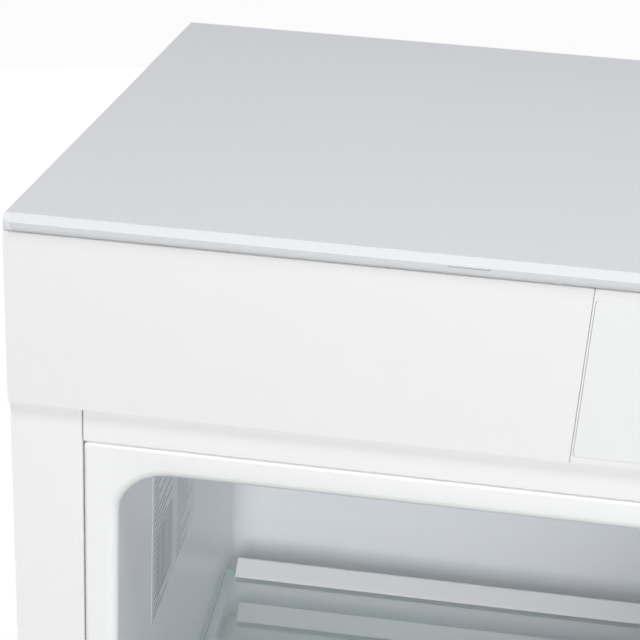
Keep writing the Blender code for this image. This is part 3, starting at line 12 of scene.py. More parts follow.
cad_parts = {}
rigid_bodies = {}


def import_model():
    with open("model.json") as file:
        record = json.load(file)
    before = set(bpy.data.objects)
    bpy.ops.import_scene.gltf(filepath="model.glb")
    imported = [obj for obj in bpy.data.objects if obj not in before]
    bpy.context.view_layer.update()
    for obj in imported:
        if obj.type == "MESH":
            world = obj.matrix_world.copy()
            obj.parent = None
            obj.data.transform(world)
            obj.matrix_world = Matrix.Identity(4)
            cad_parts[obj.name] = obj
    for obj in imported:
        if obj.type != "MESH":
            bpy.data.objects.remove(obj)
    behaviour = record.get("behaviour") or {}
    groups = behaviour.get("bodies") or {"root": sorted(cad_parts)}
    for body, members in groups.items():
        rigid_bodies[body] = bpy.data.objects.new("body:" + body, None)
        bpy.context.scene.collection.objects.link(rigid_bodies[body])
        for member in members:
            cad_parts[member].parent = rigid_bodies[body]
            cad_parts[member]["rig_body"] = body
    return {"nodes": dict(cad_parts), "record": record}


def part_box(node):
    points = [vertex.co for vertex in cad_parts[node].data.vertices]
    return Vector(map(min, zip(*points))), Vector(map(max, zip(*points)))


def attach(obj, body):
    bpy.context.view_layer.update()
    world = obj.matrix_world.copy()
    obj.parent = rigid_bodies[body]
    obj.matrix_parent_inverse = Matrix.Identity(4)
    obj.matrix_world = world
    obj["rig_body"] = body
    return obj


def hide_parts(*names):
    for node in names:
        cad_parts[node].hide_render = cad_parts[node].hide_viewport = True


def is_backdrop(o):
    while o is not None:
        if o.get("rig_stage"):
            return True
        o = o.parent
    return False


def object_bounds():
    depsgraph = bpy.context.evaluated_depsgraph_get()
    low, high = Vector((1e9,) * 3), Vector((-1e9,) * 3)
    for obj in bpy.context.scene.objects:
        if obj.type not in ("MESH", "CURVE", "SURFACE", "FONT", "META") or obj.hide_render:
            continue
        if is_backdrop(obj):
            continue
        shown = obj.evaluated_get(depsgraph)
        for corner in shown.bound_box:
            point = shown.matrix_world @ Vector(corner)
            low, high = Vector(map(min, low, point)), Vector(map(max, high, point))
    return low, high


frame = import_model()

LOG = logging.getLogger("refrigerator")
MM = 0.001
CABINET = "cabinet"
WHITE = (1.0, 1.0, 1.0)
# A face looks along an axis where its normal reaches this far along it.
FACING = 0.9

Point = tuple[float, float, float]
Colour = tuple[float, float, float]
Span = tuple[float, float]


class Axis(Enum):
    """A direction that a fastener's head looks in."""

    FRONT = (0.0, -1.0, 0.0)
    BACK = (0.0, 1.0, 0.0)
    UP = (0.0, 0.0, 1.0)


class Value:
    """A shader socket that grows Math nodes when it is used in an expression."""

    def __init__(self, graph: "Graph", socket: bpy.types.NodeSocket) -> None:
        """Wraps a socket.

        Args:
            graph: The graph that the socket belongs to.
            socket: The output that carries the number.
        """
        self.graph = graph
        self.socket = socket

    def math(self, operation: str, *others: "Value | float") -> "Value":
        """Applies one Math node with this value first.

        Args:
            operation: Blender's name of the operation.
            others: The remaining operands.

        Returns:
            The result.
        """
        return self.graph.node("ShaderNodeMath", {"operation": operation}, dict(enumerate((self, *others))))

    def flipped(self, operation: str, other: "Value | float") -> "Value":
        """Applies a Math node with the other operand first."""
        return self.graph.node("ShaderNodeMath", {"operation": operation}, {0: other, 1: self})

    def __add__(self, other: "Value | float") -> "Value":
        """Adds."""
        return self.math("ADD", other)

    def __radd__(self, other: float) -> "Value":
        """Adds to a number."""
        return self.flipped("ADD", other)

    def __sub__(self, other: "Value | float") -> "Value":
        """Subtracts."""
        return self.math("SUBTRACT", other)

    def __rsub__(self, other: float) -> "Value":
        """Subtracts from a number."""
        return self.flipped("SUBTRACT", other)

    def __mul__(self, other: "Value | float") -> "Value":
        """Multiplies."""
        return self.math("MULTIPLY", other)

    def __rmul__(self, other: float) -> "Value":
        """Multiplies a number."""
        return self.flipped("MULTIPLY", other)

    def __truediv__(self, other: "Value | float") -> "Value":
        """Divides."""
        return self.math("DIVIDE", other)

    def __gt__(self, other: "Value | float") -> "Value":
        """Is 1 where this value is the greater."""
        return self.math("GREATER_THAN", other)

    def __lt__(self, other: "Value | float") -> "Value":
        """Is 1 where this value is the smaller."""
        return self.math("LESS_THAN", other)

    def size(self) -> "Value":
        """Drops the sign."""
        return self.math("ABSOLUTE")

    def fraction(self) -> "Value":
        """Keeps the part after the point."""
        return self.math("FRACT")

    def whole(self) -> "Value":
        """Rounds down."""
        return self.math("FLOOR")

    def off_centre(self) -> "Value":
        """Returns how far this value is from the middle of its whole step."""
        return (self.fraction() - 0.5).size()

    def ramp(self, low: float, high: float) -> "Value":
        """Rises smoothly from 0 to 1 between two levels.

        Args:
            low: The level where it is 0.
            high: The level where it is 1.

        Returns:
            The smooth step.
        """
        settings = {"interpolation_type": "SMOOTHSTEP"}
        values = {"Value": self, "From Min": low, "From Max": high}
        return self.graph.node("ShaderNodeMapRange", settings, values)

    def between(self, low: float, high: float) -> "Value":
        """Is 1 between two levels."""
        return (self > low) * (self < high)


class Graph:
    """The node tree of one material or of the world."""

    def __init__(self, tree: bpy.types.NodeTree) -> None:
        """Empties the tree.

        Args:
            tree: The tree to build in.
        """
        self.tree = tree
        tree.nodes.clear()

    def node(
        self,
        kind: str,
        settings: dict[str, object] | None = None,
        values: dict[int | str, object] | None = None,
        output: int | str = 0,
    ) -> Value:
        """Adds any node.

        Args:
            kind: Blender's type of the node.
            settings: Its properties, set first.
            values: Its sockets' numbers, colours or links, by name or place.
            output: The socket to return.

        Returns:
            The chosen output.
        """
        made = self.tree.nodes.new(kind)
        for name, setting in (settings or {}).items():
            setattr(made, name, setting)
        for key, value in (values or {}).items():
            self.feed(made.inputs[key], value)
        return Value(self, made.outputs[output])

    def feed(self, socket: bpy.types.NodeSocket, value: object) -> None:
        """Links a value to a socket, or sets the socket's own number or colour.

        Args:
            socket: The input to fill.
            value: A Value, a number, or a colour.
        """
        if isinstance(value, Value):
            self.tree.links.new(value.socket, socket)
        elif socket.type == "RGBA":
            socket.default_value = (*value, 1.0)
        else:
            socket.default_value = value

    def place(self) -> Value:
        """Returns the point on the object, in metres."""
        return self.node("ShaderNodeTexCoord", output="Object")

    def axes(self) -> tuple[Value, Value, Value]:
        """Returns the point's X, Y and Z as three values."""
        split = self.node("ShaderNodeSeparateXYZ", values={0: self.place()}).socket.node
        return tuple(Value(self, output) for output in split.outputs)

    def facing_up(self) -> Value:
        """Returns the Z part of the surface's normal.

        Returns:
            The Z part of the surface's normal.
        """
        normal = self.node("ShaderNodeNewGeometry", output="Normal")
        split = self.node("ShaderNodeSeparateXYZ", values={0: normal}).socket.node
        return Value(self, split.outputs["Z"])

    def stretched(self, stretch: Point) -> Value:
        """Returns the point scaled along each axis.

        Args:
            stretch: The factors.

        Returns:
            The scaled point.
        """
        return self.node("ShaderNodeMapping", values={"Vector": self.place(), "Scale": stretch})

    def noise(self, scale: float, detail: float = 2.0, where: Value | None = None) -> Value:
        """Returns noise between 0 and 1.

        Args:
            scale: Waves per metre.
            detail: Blender's detail.
            where: The point to read it at, or None for the object's own.

        Returns:
            The noise.
        """
        values = {"Vector": where or self.place(), "Scale": scale, "Detail": detail}
        return self.node("ShaderNodeTexNoise", values=values)

    def cells(self, scale: float, output: str = "Distance") -> Value:
        """Returns a cell pattern.

        Args:
            scale: Cells per metre.
            output: The Voronoi node's output.

        Returns:
            The chosen output.
        """
        return self.node("ShaderNodeTexVoronoi", None, {"Vector": self.place(), "Scale": scale}, output)

    def random(self, step: Value) -> Value:
        """Returns one random number between 0 and 1 for each whole step."""
        return self.node("ShaderNodeTexWhiteNoise", {"noise_dimensions": "1D"}, {"W": step.whole()}, "Value")

    def blend(self, share: Value | float, first: object, second: object) -> Value:
        """Mixes two colours.

        Args:
            share: How much of the second colour shows.
            first: A colour or a Value.
            second: A colour or a Value.

        Returns:
            The mixed colour.
        """
        values = {0: share, 6: first, 7: second}
        return self.node("ShaderNodeMix", {"data_type": "RGBA"}, values, 2)

    def shade(self, colour: Colour, level: Value, swing: float) -> Value:
        """Makes a colour a little darker and lighter over the surface.

        Args:
            colour: The middle colour.
            level: A pattern between 0 and 1.
            swing: How far the colour goes either way, as a share of itself.

        Returns:
            The varied colour.
        """
        dark = tuple(part * (1 - swing) for part in colour)
        light = tuple(min(part * (1 + swing), 1.0) for part in colour)
        return self.blend(level, dark, light)

    def bump(self, height: Value, depth: float, strength: float = 1.0, under: Value | None = None) -> Value:
        """Returns a normal that follows a height pattern.

        Args:
            height: The pattern.
            depth: Its real depth in metres.
            strength: How much of it shows.
            under: A normal that it lies on.

        Returns:
            The normal.
        """
        values: dict[int | str, object] = {"Height": height, "Distance": depth, "Strength": strength}
        if under is not None:
            values["Normal"] = under
        return self.node("ShaderNodeBump", values=values)

    def surface(
        self,
        colour: Value,
        roughness: Value | float,
        normal: Value | None = None,
        others: dict[int | str, object] | None = None,
    ) -> None:
        """Ends the tree in a Principled shader.

        Args:
            colour: Its base colour.
            roughness: Its roughness.
            normal: Its normal, or None for the surface's own.
            others: Its other sockets.
        """
        values = {"Base Color": colour, "Roughness": roughness, **(others or {})}
        if normal is not None:
            values["Normal"] = normal
        self.node_output("ShaderNodeOutputMaterial", self.node("ShaderNodeBsdfPrincipled", values=values))

    def node_output(self, kind: str, shader: Value) -> None:
        """Links a shader to the tree's output node."""
        made = self.tree.nodes.new(kind)
        self.tree.links.new(shader.socket, made.inputs["Surface"])


@dataclass(frozen=True)
class Finish:
    """What every finish states: its name, its colour and how rough it is."""

    name: str
    colour: Colour
    roughness: float = 0.4
    grain: float = 1.0

    def surface(self, graph: Graph) -> None:
        """Builds the nodes of the finish in a graph.

        Args:
            graph: The graph of its material.
        """
        raise NotImplementedError

    def build(self) -> bpy.types.Material:
        """Makes the material.

        Returns:
            The material with its nodes.
        """
        made = bpy.data.materials.new(self.name)
        made.use_nodes = True
        self.surface(Graph(made.node_tree))
        return made


@dataclass(frozen=True)
class SprayPaint(Finish):
    """Paint on steel sheet: a slight orange peel and an uneven gloss."""

    peel: float = 0.03 * MM

    def surface(self, graph: Graph) -> None:
        """Builds the paint.

        Args:
            graph: The graph of its material.
        """
        colour = graph.shade(self.colour, graph.noise(5.0, 3.0), 0.010)
        gloss = self.roughness + (graph.noise(60.0, 3.0) - 0.5) * 0.10
        normal = graph.bump(graph.noise(420.0 * self.grain, 1.0), self.peel, 0.5)
        graph.surface(colour, gloss, normal, {"Specular IOR Level": 0.45})


@dataclass(frozen=True)
class EmbossedLaminate(Finish):
    """Laminate rolled with short broken lines that run from side to side, painted lighter on the lines as a
    painted highlight.
    """

    line_length: float = 9.0 * MM
    line_pitch: float = 1.1 * MM
    depth: float = 0.06 * MM

    def surface(self, graph: Graph) -> None:
        """Builds the laminate.

        Args:
            graph: The graph of its material.
        """
        length, pitch = self.line_length, self.line_pitch
        lines = graph.noise(1.0, 1.0, graph.stretched((1 / length, 1 / pitch, 1.0))).ramp(0.56, 0.72)
        dashes = graph.noise(1.0, 0.0, graph.stretched((1.6 / length, 0.6 / pitch, 1.0))).ramp(0.76, 0.80)
        relief_and_painted_highlight = lines * 0.35 + dashes * 0.9
        ground = graph.shade(self.colour, graph.noise(3.0, 2.0), 0.012)
        # Painted highlight: the raised lines are blended towards a lighter colour, standing in for light
        # catching the embossing.
        light = tuple(min(part * 1.07, 1.0) for part in self.colour)
        colour = graph.blend(relief_and_painted_highlight * 0.5, ground, light)
        normal = graph.bump(relief_and_painted_highlight, self.depth, 0.6)
        graph.surface(colour, self.roughness - relief_and_painted_highlight * 0.08, normal, {"Specular IOR Level": 0.35})


@dataclass(frozen=True)
class Moulding(Finish):
    """A satin moulding with the fine spark grain of its tool."""

    def surface(self, graph: Graph) -> None:
        """Builds the plastic.

        Args:
            graph: The graph of its material.
        """
        colour = graph.shade(self.colour, graph.noise(7.0, 3.0), 0.008)
        gloss = self.roughness + (graph.noise(90.0, 3.0) - 0.5) * 0.08
        normal = graph.bump(graph.noise(1500.0 * self.grain, 2.0), 0.02 * MM, 0.5)
        graph.surface(colour, gloss, normal, {"Specular IOR Level": 0.4})


@dataclass(frozen=True)
class GlossPlate(Finish):
    """A polished plate under a clear coat, with a few fine hairlines."""

    def surface(self, graph: Graph) -> None:
        """Builds the plate.

        Args:
            graph: The graph of its material.
        """
        hairs = graph.noise(1.0, 1.0, graph.stretched((40.0, 1.0, 2600.0))).ramp(0.72, 0.78)
        colour = graph.shade(self.colour, graph.noise(6.0, 2.0), 0.006)
        coat = {"Coat Weight": 0.35, "Coat Roughness": 0.05, "Specular IOR Level": 0.5}
        graph.surface(colour, self.roughness + hairs * 0.06, None, coat)


@dataclass(frozen=True)
class FormedSheet(Finish):
    """Vacuum-formed sheet with soft waves in the plastic; its colour turns lighter and bluer deeper in, as
    painted light and painted blue shade inside the cavity.
    """

    # The lighter, bluer colour painted deeper in, and the depths over which it fades in: painted light and
    # painted blue shade inside the cavity, not the sheet's own colour.
    painted_cavity_light: Colour = (0.895, 0.918, 0.950)
    painted_light_depths: Span = (-22.0 * MM, 30.0 * MM)

    def surface(self, graph: Graph) -> None:
        """Builds the sheet.

        Args:
            graph: The graph of its material.
        """
        waves = graph.noise(34.0, 2.0)
        # Painted light: the colour is blended lighter and bluer with depth into the cavity.
        depth = graph.axes()[1].ramp(*self.painted_light_depths)
        colour = graph.blend(depth, graph.shade(self.colour, waves, 0.008), self.painted_cavity_light)
        gloss = self.roughness + (graph.noise(26.0, 3.0) - 0.5) * 0.10
        under = graph.bump(waves, 0.25 * MM, 0.35)
        normal = graph.bump(graph.noise(520.0, 1.0), 0.02 * MM, 0.5, under)
        graph.surface(colour, gloss, normal, {"Specular IOR Level": 0.4})


@dataclass(frozen=True)
class RigidFoam(Finish):
    """Cut rigid foam with its open cells, and the pale film that it was poured against in front."""

    film: Colour = (0.78, 0.82, 0.88)
    film_depth: float = -22.0 * MM
    film_fade: float = 4.0 * MM

    def surface(self, graph: Graph) -> None:
        """Builds the foam.

        Args:
            graph: The graph of its material.
        """
        cells = graph.cells(700.0)
        covered = 1.0 - graph.axes()[1].ramp(self.film_depth, self.film_depth + self.film_fade)
        ground = graph.shade(self.colour, graph.noise(40.0, 4.0) * 0.6 + cells * 0.4, 0.14)
        normal = graph.bump(cells, 0.4 * MM, 0.8)
        graph.surface(graph.blend(covered, ground, self.film), self.roughness, normal)


@dataclass(frozen=True)
class ZincSheet(Finish):
    """Galvanised sheet with its spangle."""

    def surface(self, graph: Graph) -> None:
        """Builds the zinc.

        Args:
            graph: The graph of its material.
        """
        spangle = graph.node("ShaderNodeSeparateColor", values={0: graph.cells(110.0, "Color")})
        scratches = graph.noise(1.0, 2.0, graph.stretched((30.0, 900.0, 900.0)))
        colour = graph.shade(self.colour, spangle * 0.7 + scratches * 0.3, 0.10)
        gloss = self.roughness + (spangle - 0.5) * 0.14
        graph.surface(colour, gloss, graph.bump(scratches, 0.01 * MM, 0.5), {"Metallic": 0.95})


@dataclass(frozen=True)
class DarkCoat(Finish):
    """Black enamel or black plastic, with dust where it faces up."""

    dust: float = 0.5
    dust_colour: Colour = (0.20, 0.19, 0.18)

    def surface(self, graph: Graph) -> None:
        """Builds the dark coat.

        Args:
            graph: The graph of its material.
        """
        settled = graph.facing_up().ramp(0.35, 1.0) * graph.noise(55.0, 5.0).ramp(0.25, 0.85) * self.dust
        colour = graph.blend(settled, self.colour, self.dust_colour)
        gloss = (graph.noise(45.0, 3.0) - 0.5) * 0.14 + settled * 0.35 + self.roughness
        graph.surface(colour, gloss, graph.bump(graph.noise(480.0 * self.grain, 2.0), 0.03 * MM, 0.6))


@dataclass(frozen=True)
class SoftRubber(Finish):
    """Rubber or soft vinyl with a dull skin."""

    def surface(self, graph: Graph) -> None:
        """Builds the rubber.

        Args:
            graph: The graph of its material.
        """
        skin = graph.noise(900.0 * self.grain, 3.0)
        colour = graph.shade(self.colour, graph.noise(30.0, 4.0), 0.06)
        graph.surface(colour, self.roughness + (skin - 0.5) * 0.10, graph.bump(skin, 0.03 * MM, 0.5))


@dataclass(frozen=True)
class ClearMoulding(Finish):
    """See-through plastic whose colour, cover and gloss waver in slow random swirls."""

    alpha: float = 0.34

    def surface(self, graph: Graph) -> None:
        """Builds the clear plastic.

        Args:
            graph: The graph of its material.
        """
        flow = graph.noise(18.0, 3.0)
        colour = graph.shade(self.colour, flow, 0.015)
        cover = {"Alpha": self.alpha + (flow - 0.5) * 0.08}
        graph.surface(colour, self.roughness + flow * 0.05, graph.bump(flow, 0.20 * MM, 0.3), cover)


@dataclass(frozen=True)
class ToughenedGlass(Finish):
    """A float-glass plate with ground green edges."""

    alpha: float = 0.24
    edge_colour: Colour = (0.36, 0.62, 0.54)

    def surface(self, graph: Graph) -> None:
        """Builds the glass.

        Args:
            graph: The graph of its material.
        """
        edge = 1.0 - graph.facing_up().size().ramp(0.3, 0.8)
        colour = graph.blend(edge, self.colour, self.edge_colour)
        normal = graph.bump(graph.noise(1800.0, 2.0) * edge, 0.03 * MM, 0.5)
        graph.surface(colour, edge * 0.30 + self.roughness, normal, {"Alpha": self.alpha + edge * 0.60})


@dataclass(frozen=True)
class PrintedBoard(Finish):
    """Green solder mask over copper tracks, with tinned pads."""

    pitch: float = 2.54 * MM
    track_colour: Colour = (0.10, 0.32, 0.16)
    tin_colour: Colour = (0.62, 0.62, 0.60)

    def surface(self, graph: Graph) -> None:
        """Builds the board.

        Args:
            graph: The graph of its material.
        """
        x, _, z = graph.axes()
        column, row = x / self.pitch, z / self.pitch
        pads = (column.off_centre() < 0.24) * (row.off_centre() < 0.24)
        cell = graph.node("ShaderNodeCombineXYZ", values={0: column.whole(), 1: row.whole()})
        chosen = graph.node("ShaderNodeTexWhiteNoise", {"noise_dimensions": "2D"}, {0: cell})
        tinned = pads * (chosen > 0.62)
        tracks = (row.off_centre() < 0.16) * (graph.noise(120.0, 0.0) > 0.5)
        ground = graph.blend(tracks * 0.6, self.colour, self.track_colour)
        colour = graph.blend(tinned, ground, self.tin_colour)
        normal = graph.bump(tracks + tinned, 0.05 * MM, 0.8)
        graph.surface(colour, self.roughness - tinned * 0.10, normal, {"Metallic": tinned * 0.9})


@dataclass(frozen=True)
class RibbedOpal(Finish):
    """A milky lamp cover with fine ribs on it."""

    pitch: float = 3.0 * MM

    def surface(self, graph: Graph) -> None:
        """Builds the cover.

        Args:
            graph: The graph of its material.
        """
        ribs = (graph.axes()[1] / self.pitch).off_centre() * 2.0
        colour = graph.shade(self.colour, ribs, 0.03)
        normal = graph.bump(ribs.ramp(0.0, 1.0), 0.5 * MM, 0.7)
        milk = {"Subsurface Weight": 0.2, "Subsurface Scale": 4.0 * MM}
        graph.surface(colour, self.roughness + ribs * 0.05, normal, milk)


@dataclass(frozen=True)
class DrawnCopper(Finish):
    """Bright drawn copper with darker heat stains."""

    stain_colour: Colour = (0.34, 0.17, 0.10)

    def surface(self, graph: Graph) -> None:
        """Builds the copper.

        Args:
            graph: The graph of its material.
        """
        stain = graph.noise(38.0, 4.0).ramp(0.45, 0.75)
        colour = graph.blend(stain, self.colour, self.stain_colour)
        normal = graph.bump(graph.noise(900.0, 2.0), 0.02 * MM, 0.4)
        graph.surface(colour, self.roughness + stain * 0.22, normal, {"Metallic": 0.96})


@dataclass(frozen=True)
class RuledLabel(Finish):
    """A pale adhesive label that carries only grey rules and one block of bars.

    The rules run along Y. The label's place is given by its front lower corner, and so are its marks.
    """

    front: float = 0.0
    foot: float = 0.0
    ink: Colour = (0.20, 0.22, 0.25)
    ink_cover: float = 0.72
    rule_pitch: float = 4.6 * MM
    bar_pitch: float = 2.1 * MM
    left_rules: Span = (6.0 * MM, 60.0 * MM)
    right_rules: Span = (78.0 * MM, 130.0 * MM)
    bars_along: Span = (14.0 * MM, 62.0 * MM)
    bars_up: Span = (12.0 * MM, 60.0 * MM)

    def surface(self, graph: Graph) -> None:
        """Builds the label.

        Args:
            graph: The graph of its material.
        """
        _, y, z = graph.axes()
        along, up = y - self.front, z - self.foot
        row, stripe = up / self.rule_pitch, along / self.bar_pitch
        length = graph.random(row)
        left = (row.off_centre() < 0.17) * along.between(*self.left_rules)
        left = left * ((length * 0.050 + 0.018) > along)
        right = along.between(*self.right_rules) * (row.off_centre() < 0.12)
        right = right * ((length * 0.04 + 0.092) > along)
        bars = stripe.off_centre() < (graph.random(stripe) * 0.26 + 0.14)
        in_block = along.between(*self.bars_along) * up.between(*self.bars_up)
        marks = bars * in_block + (left + right) * (1.0 - in_block)
        paper = graph.shade(self.colour, graph.noise(25.0), 0.02)
        colour = graph.blend(marks * self.ink_cover, paper, self.ink)
        gloss = self.roughness + graph.noise(300.0, 2.0) * 0.06
        graph.surface(colour, gloss, graph.bump(graph.noise(14.0, 1.0), 0.15 * MM, 0.4))


@dataclass
class Palette:
    """One material of each finish, made when it is first asked for."""

    finishes: tuple[Finish, ...]
    made: dict[str, bpy.types.Material] = field(default_factory=dict)

    def __getitem__(self, name: str) -> bpy.types.Material:
        """Returns the material of a finish, by its name.

        Args:
            name: The finish's name.

        Returns:
            Its material.
        """
        if name not in self.made:
            self.made[name] = next(finish for finish in self.finishes if finish.name == name).build()
        return self.made[name]


class Bench:
    """The modelling steps that the new pieces share.

    ROUND_SHARE is the handle's length, as a share of the radius, that makes a quarter bend round.
    """

    ROUND_SHARE = 0.55
    MERGE_REACH = 0.001 * MM

    @staticmethod
    def clear() -> None:
        """Leaves edit mode and deselects everything."""
        if bpy.context.object is not None and bpy.context.object.mode != "OBJECT":
            bpy.ops.object.mode_set(mode="OBJECT")
        bpy.ops.object.select_all(action="DESELECT")

    @staticmethod
    def choose(*chosen: bpy.types.Object) -> None:
        """Selects objects and makes the last one active."""
        Bench.clear()
        for piece in chosen:
            piece.select_set(True)
        bpy.context.view_layer.objects.active = chosen[-1]

    @staticmethod
    def settle(name: str) -> bpy.types.Object:
        """Names the active object and puts its place into its mesh.

        Args:
            name: The piece's name.

        Returns:
            The piece, at the origin, unturned and unscaled.
        """
        made = bpy.context.object
        made.name = name
        made.data.name = name
        bpy.ops.object.transform_apply(location=True, rotation=True, scale=True)
        return made

    @staticmethod
    def block(name: str, low: Point, high: Point) -> bpy.types.Object:
        """Adds a block between two corners.

        Args:
            name: The piece's name.
            low: Its lowest corner.
            high: Its highest corner.

        Returns:
            The block.
        """
        Bench.clear()
        middle = [(a + b) / 2 for a, b in zip(low, high)]
        bpy.ops.mesh.primitive_cube_add(size=1.0, location=middle)
        bpy.context.object.scale = [b - a for a, b in zip(low, high)]
        return Bench.settle(name)

    @staticmethod
    def drum(name: str, centre: Point, radius: float, height: float, sides: int = 24) -> bpy.types.Object:
        """Adds an upright cylinder.

        Args:
            name: The piece's name.
            centre: Its centre.
            radius: Its radius.
            height: Its height.
            sides: The number of its side faces.

        Returns:
            The cylinder.
        """
        Bench.clear()
        bpy.ops.mesh.primitive_cylinder_add(vertices=sides, radius=radius, depth=height, location=centre)
        return Bench.settle(name)

    @staticmethod
    def pick(piece: bpy.types.Object, test: Callable[[bmesh.types.BMFace], bool]) -> None:
        """Enters edit mode with only the faces selected that pass a test.

        Args:
            piece: The piece to edit.
            test: Says whether a face is chosen.
        """
        Bench.choose(piece)
        bpy.ops.object.mode_set(mode="EDIT")
        bpy.ops.mesh.select_mode(type="FACE")
        bpy.ops.mesh.select_all(action="DESELECT")
        mesh = bmesh.from_edit_mesh(piece.data)
        for face in mesh.faces:
            face.select_set(test(face))
        bmesh.update_edit_mesh(piece.data)

    @staticmethod
    def extrude(step: Point) -> None:
        """Extrudes the selected faces by a step."""
        bpy.ops.mesh.extrude_region_move(TRANSFORM_OT_translate={"value": step})

    @staticmethod
    def soften(
        piece: bpy.types.Object, width: float = 0.0, segments: int = 2, angle: float = 30.0
    ) -> bpy.types.Object:
        """Rounds the hard edges and shades the rest smooth, with the large faces kept flat.

        Args:
            piece: The piece.
            width: The width of the rounding.
            segments: The steps of the rounding.
            angle: The least angle of a hard edge, in degrees.

        Returns:
            The piece.
        """
        Bench.choose(piece)
        if width > 0:
            bevel = piece.modifiers.new("edges", "BEVEL")
            bevel.width = width
            bevel.segments = segments
            bevel.limit_method = "ANGLE"
            bevel.angle_limit = math.radians(angle)
            bevel.use_clamp_overlap = True
            bpy.ops.object.modifier_apply(modifier=bevel.name)
        bpy.ops.object.shade_smooth_by_angle(angle=math.radians(angle))
        level = piece.modifiers.new("flat_faces", "WEIGHTED_NORMAL")
        level.keep_sharp = True
        bpy.ops.object.modifier_apply(modifier=level.name)
        return piece

    @staticmethod
    def spread(piece: bpy.types.Object, low: Point, high: Point, reach: float = 6.0 * MM) -> None:
        """Stretches the rim of a piece, so that the joint round it shows as fine as the real one.

        Args:
            piece: The piece.
            low: How far its low sides move out along each axis.
            high: How far its high sides move out along each axis.
            reach: The width of the rim that takes the stretch.
        """
        points = [vertex.co for vertex in piece.data.vertices]
        for axis in range(3):
            start, end = min(point[axis] for point in points), max(point[axis] for point in points)
            for point in points:
                point[axis] -= low[axis] * max(0.0, 1.0 - (point[axis] - start) / reach)
                point[axis] += high[axis] * max(0.0, 1.0 - (end - point[axis]) / reach)

    @staticmethod
    def carve(piece: bpy.types.Object, tool: bpy.types.Object) -> None:
        """Cuts one piece with another and removes the tool.

        Args:
            piece: The piece to cut.
            tool: The shape that is taken away.
        """
        Bench.choose(piece)
        cut = piece.modifiers.new("cut", "BOOLEAN")
        cut.operation = "DIFFERENCE"
        cut.solver = "EXACT"
        cut.object = tool
        bpy.ops.object.modifier_apply(modifier=cut.name)
        bpy.data.objects.remove(tool)

    @staticmethod
    def copy_to(master: bpy.types.Object, name: str, place: Matrix) -> bpy.types.Object:
        """Copies a piece with a mesh of its own.

        Args:
            master: The piece to copy.
            name: The copy's name.
            place: Where the copy goes, applied to its mesh.

        Returns:
            The copy.
        """
        made = master.copy()
        made.data = master.data.copy()
        made.name = name
        made.data.name = name
        made.data.transform(place)
        bpy.context.scene.collection.objects.link(made)
        return made

    @staticmethod
    def merge(name: str, pieces: list[bpy.types.Object]) -> bpy.types.Object:
        """Joins pieces into one object.

        Args:
            name: The joined piece's name.
            pieces: What is joined.

        Returns:
            The joined piece.
        """
        Bench.choose(*pieces)
        if len(pieces) > 1:
            bpy.ops.object.join()
        made = bpy.context.object
        made.name = name
        made.data.name = name
        return made

    @staticmethod
    def pipe(name: str, corners: list[Point], radius: float, bend: float) -> bpy.types.Object:
        """Makes a round pipe with straight runs and round bends.

        Args:
            name: The piece's name.
            corners: Its ends, and the points between them where its runs would meet.
            radius: Its radius.
            bend: The radius of its bends.

        Returns:
            The pipe as a mesh.
        """
        spots = [Vector(corner) for corner in corners]
        knots = [(spots[0], spots[0], spots[0])]
        for before, corner, after in zip(spots, spots[1:], spots[2:]):
            near, far = (before - corner).normalized(), (after - corner).normalized()
            reach = bend / math.tan(near.angle(far) / 2)
            pull = reach * Bench.ROUND_SHARE
            knots.append((corner + near * reach, corner + near * reach, corner + near * (reach - pull)))
            knots.append((corner + far * reach, corner + far * (reach - pull), corner + far * reach))
        knots.append((spots[-1], spots[-1], spots[-1]))
        Bench.clear()
        bpy.ops.curve.primitive_bezier_curve_add(location=(0.0, 0.0, 0.0))
        made = bpy.context.object
        spline = made.data.splines[0]
        spline.bezier_points.add(len(knots) - len(spline.bezier_points))
        for knot, (place, arriving, leaving) in zip(spline.bezier_points, knots):
            knot.handle_left_type = knot.handle_right_type = "FREE"
            knot.co, knot.handle_left, knot.handle_right = place, arriving, leaving
        made.data.resolution_u = 8
        made.data.bevel_depth = radius
        made.data.bevel_resolution = 3
        made.data.use_fill_caps = True
        bpy.ops.object.convert(target="MESH")
        made = Bench.settle(name)
        bpy.ops.object.mode_set(mode="EDIT")
        bpy.ops.mesh.select_all(action="SELECT")
        bpy.ops.mesh.remove_doubles(threshold=Bench.MERGE_REACH)
        bpy.ops.mesh.normals_make_consistent(inside=False)
        Bench.clear()
        return Bench.soften(made, angle=50.0)

    @staticmethod
    def finish(
        piece: bpy.types.Object, look: bpy.types.Material, slot: str, body: str = CABINET
    ) -> bpy.types.Object:
        """Dresses a new piece and lets it ride.

        Args:
            piece: The piece.
            look: Its material.
            slot: The record's slot of its finish; not used.
            body: The body that it rides on.

        Returns:
            The piece.
        """
        piece.data.materials.clear()
        piece.data.materials.append(look)
        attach(piece, body)
        LOG.info("%s: %d faces on %s", piece.name, len(piece.data.polygons), body)
        return piece


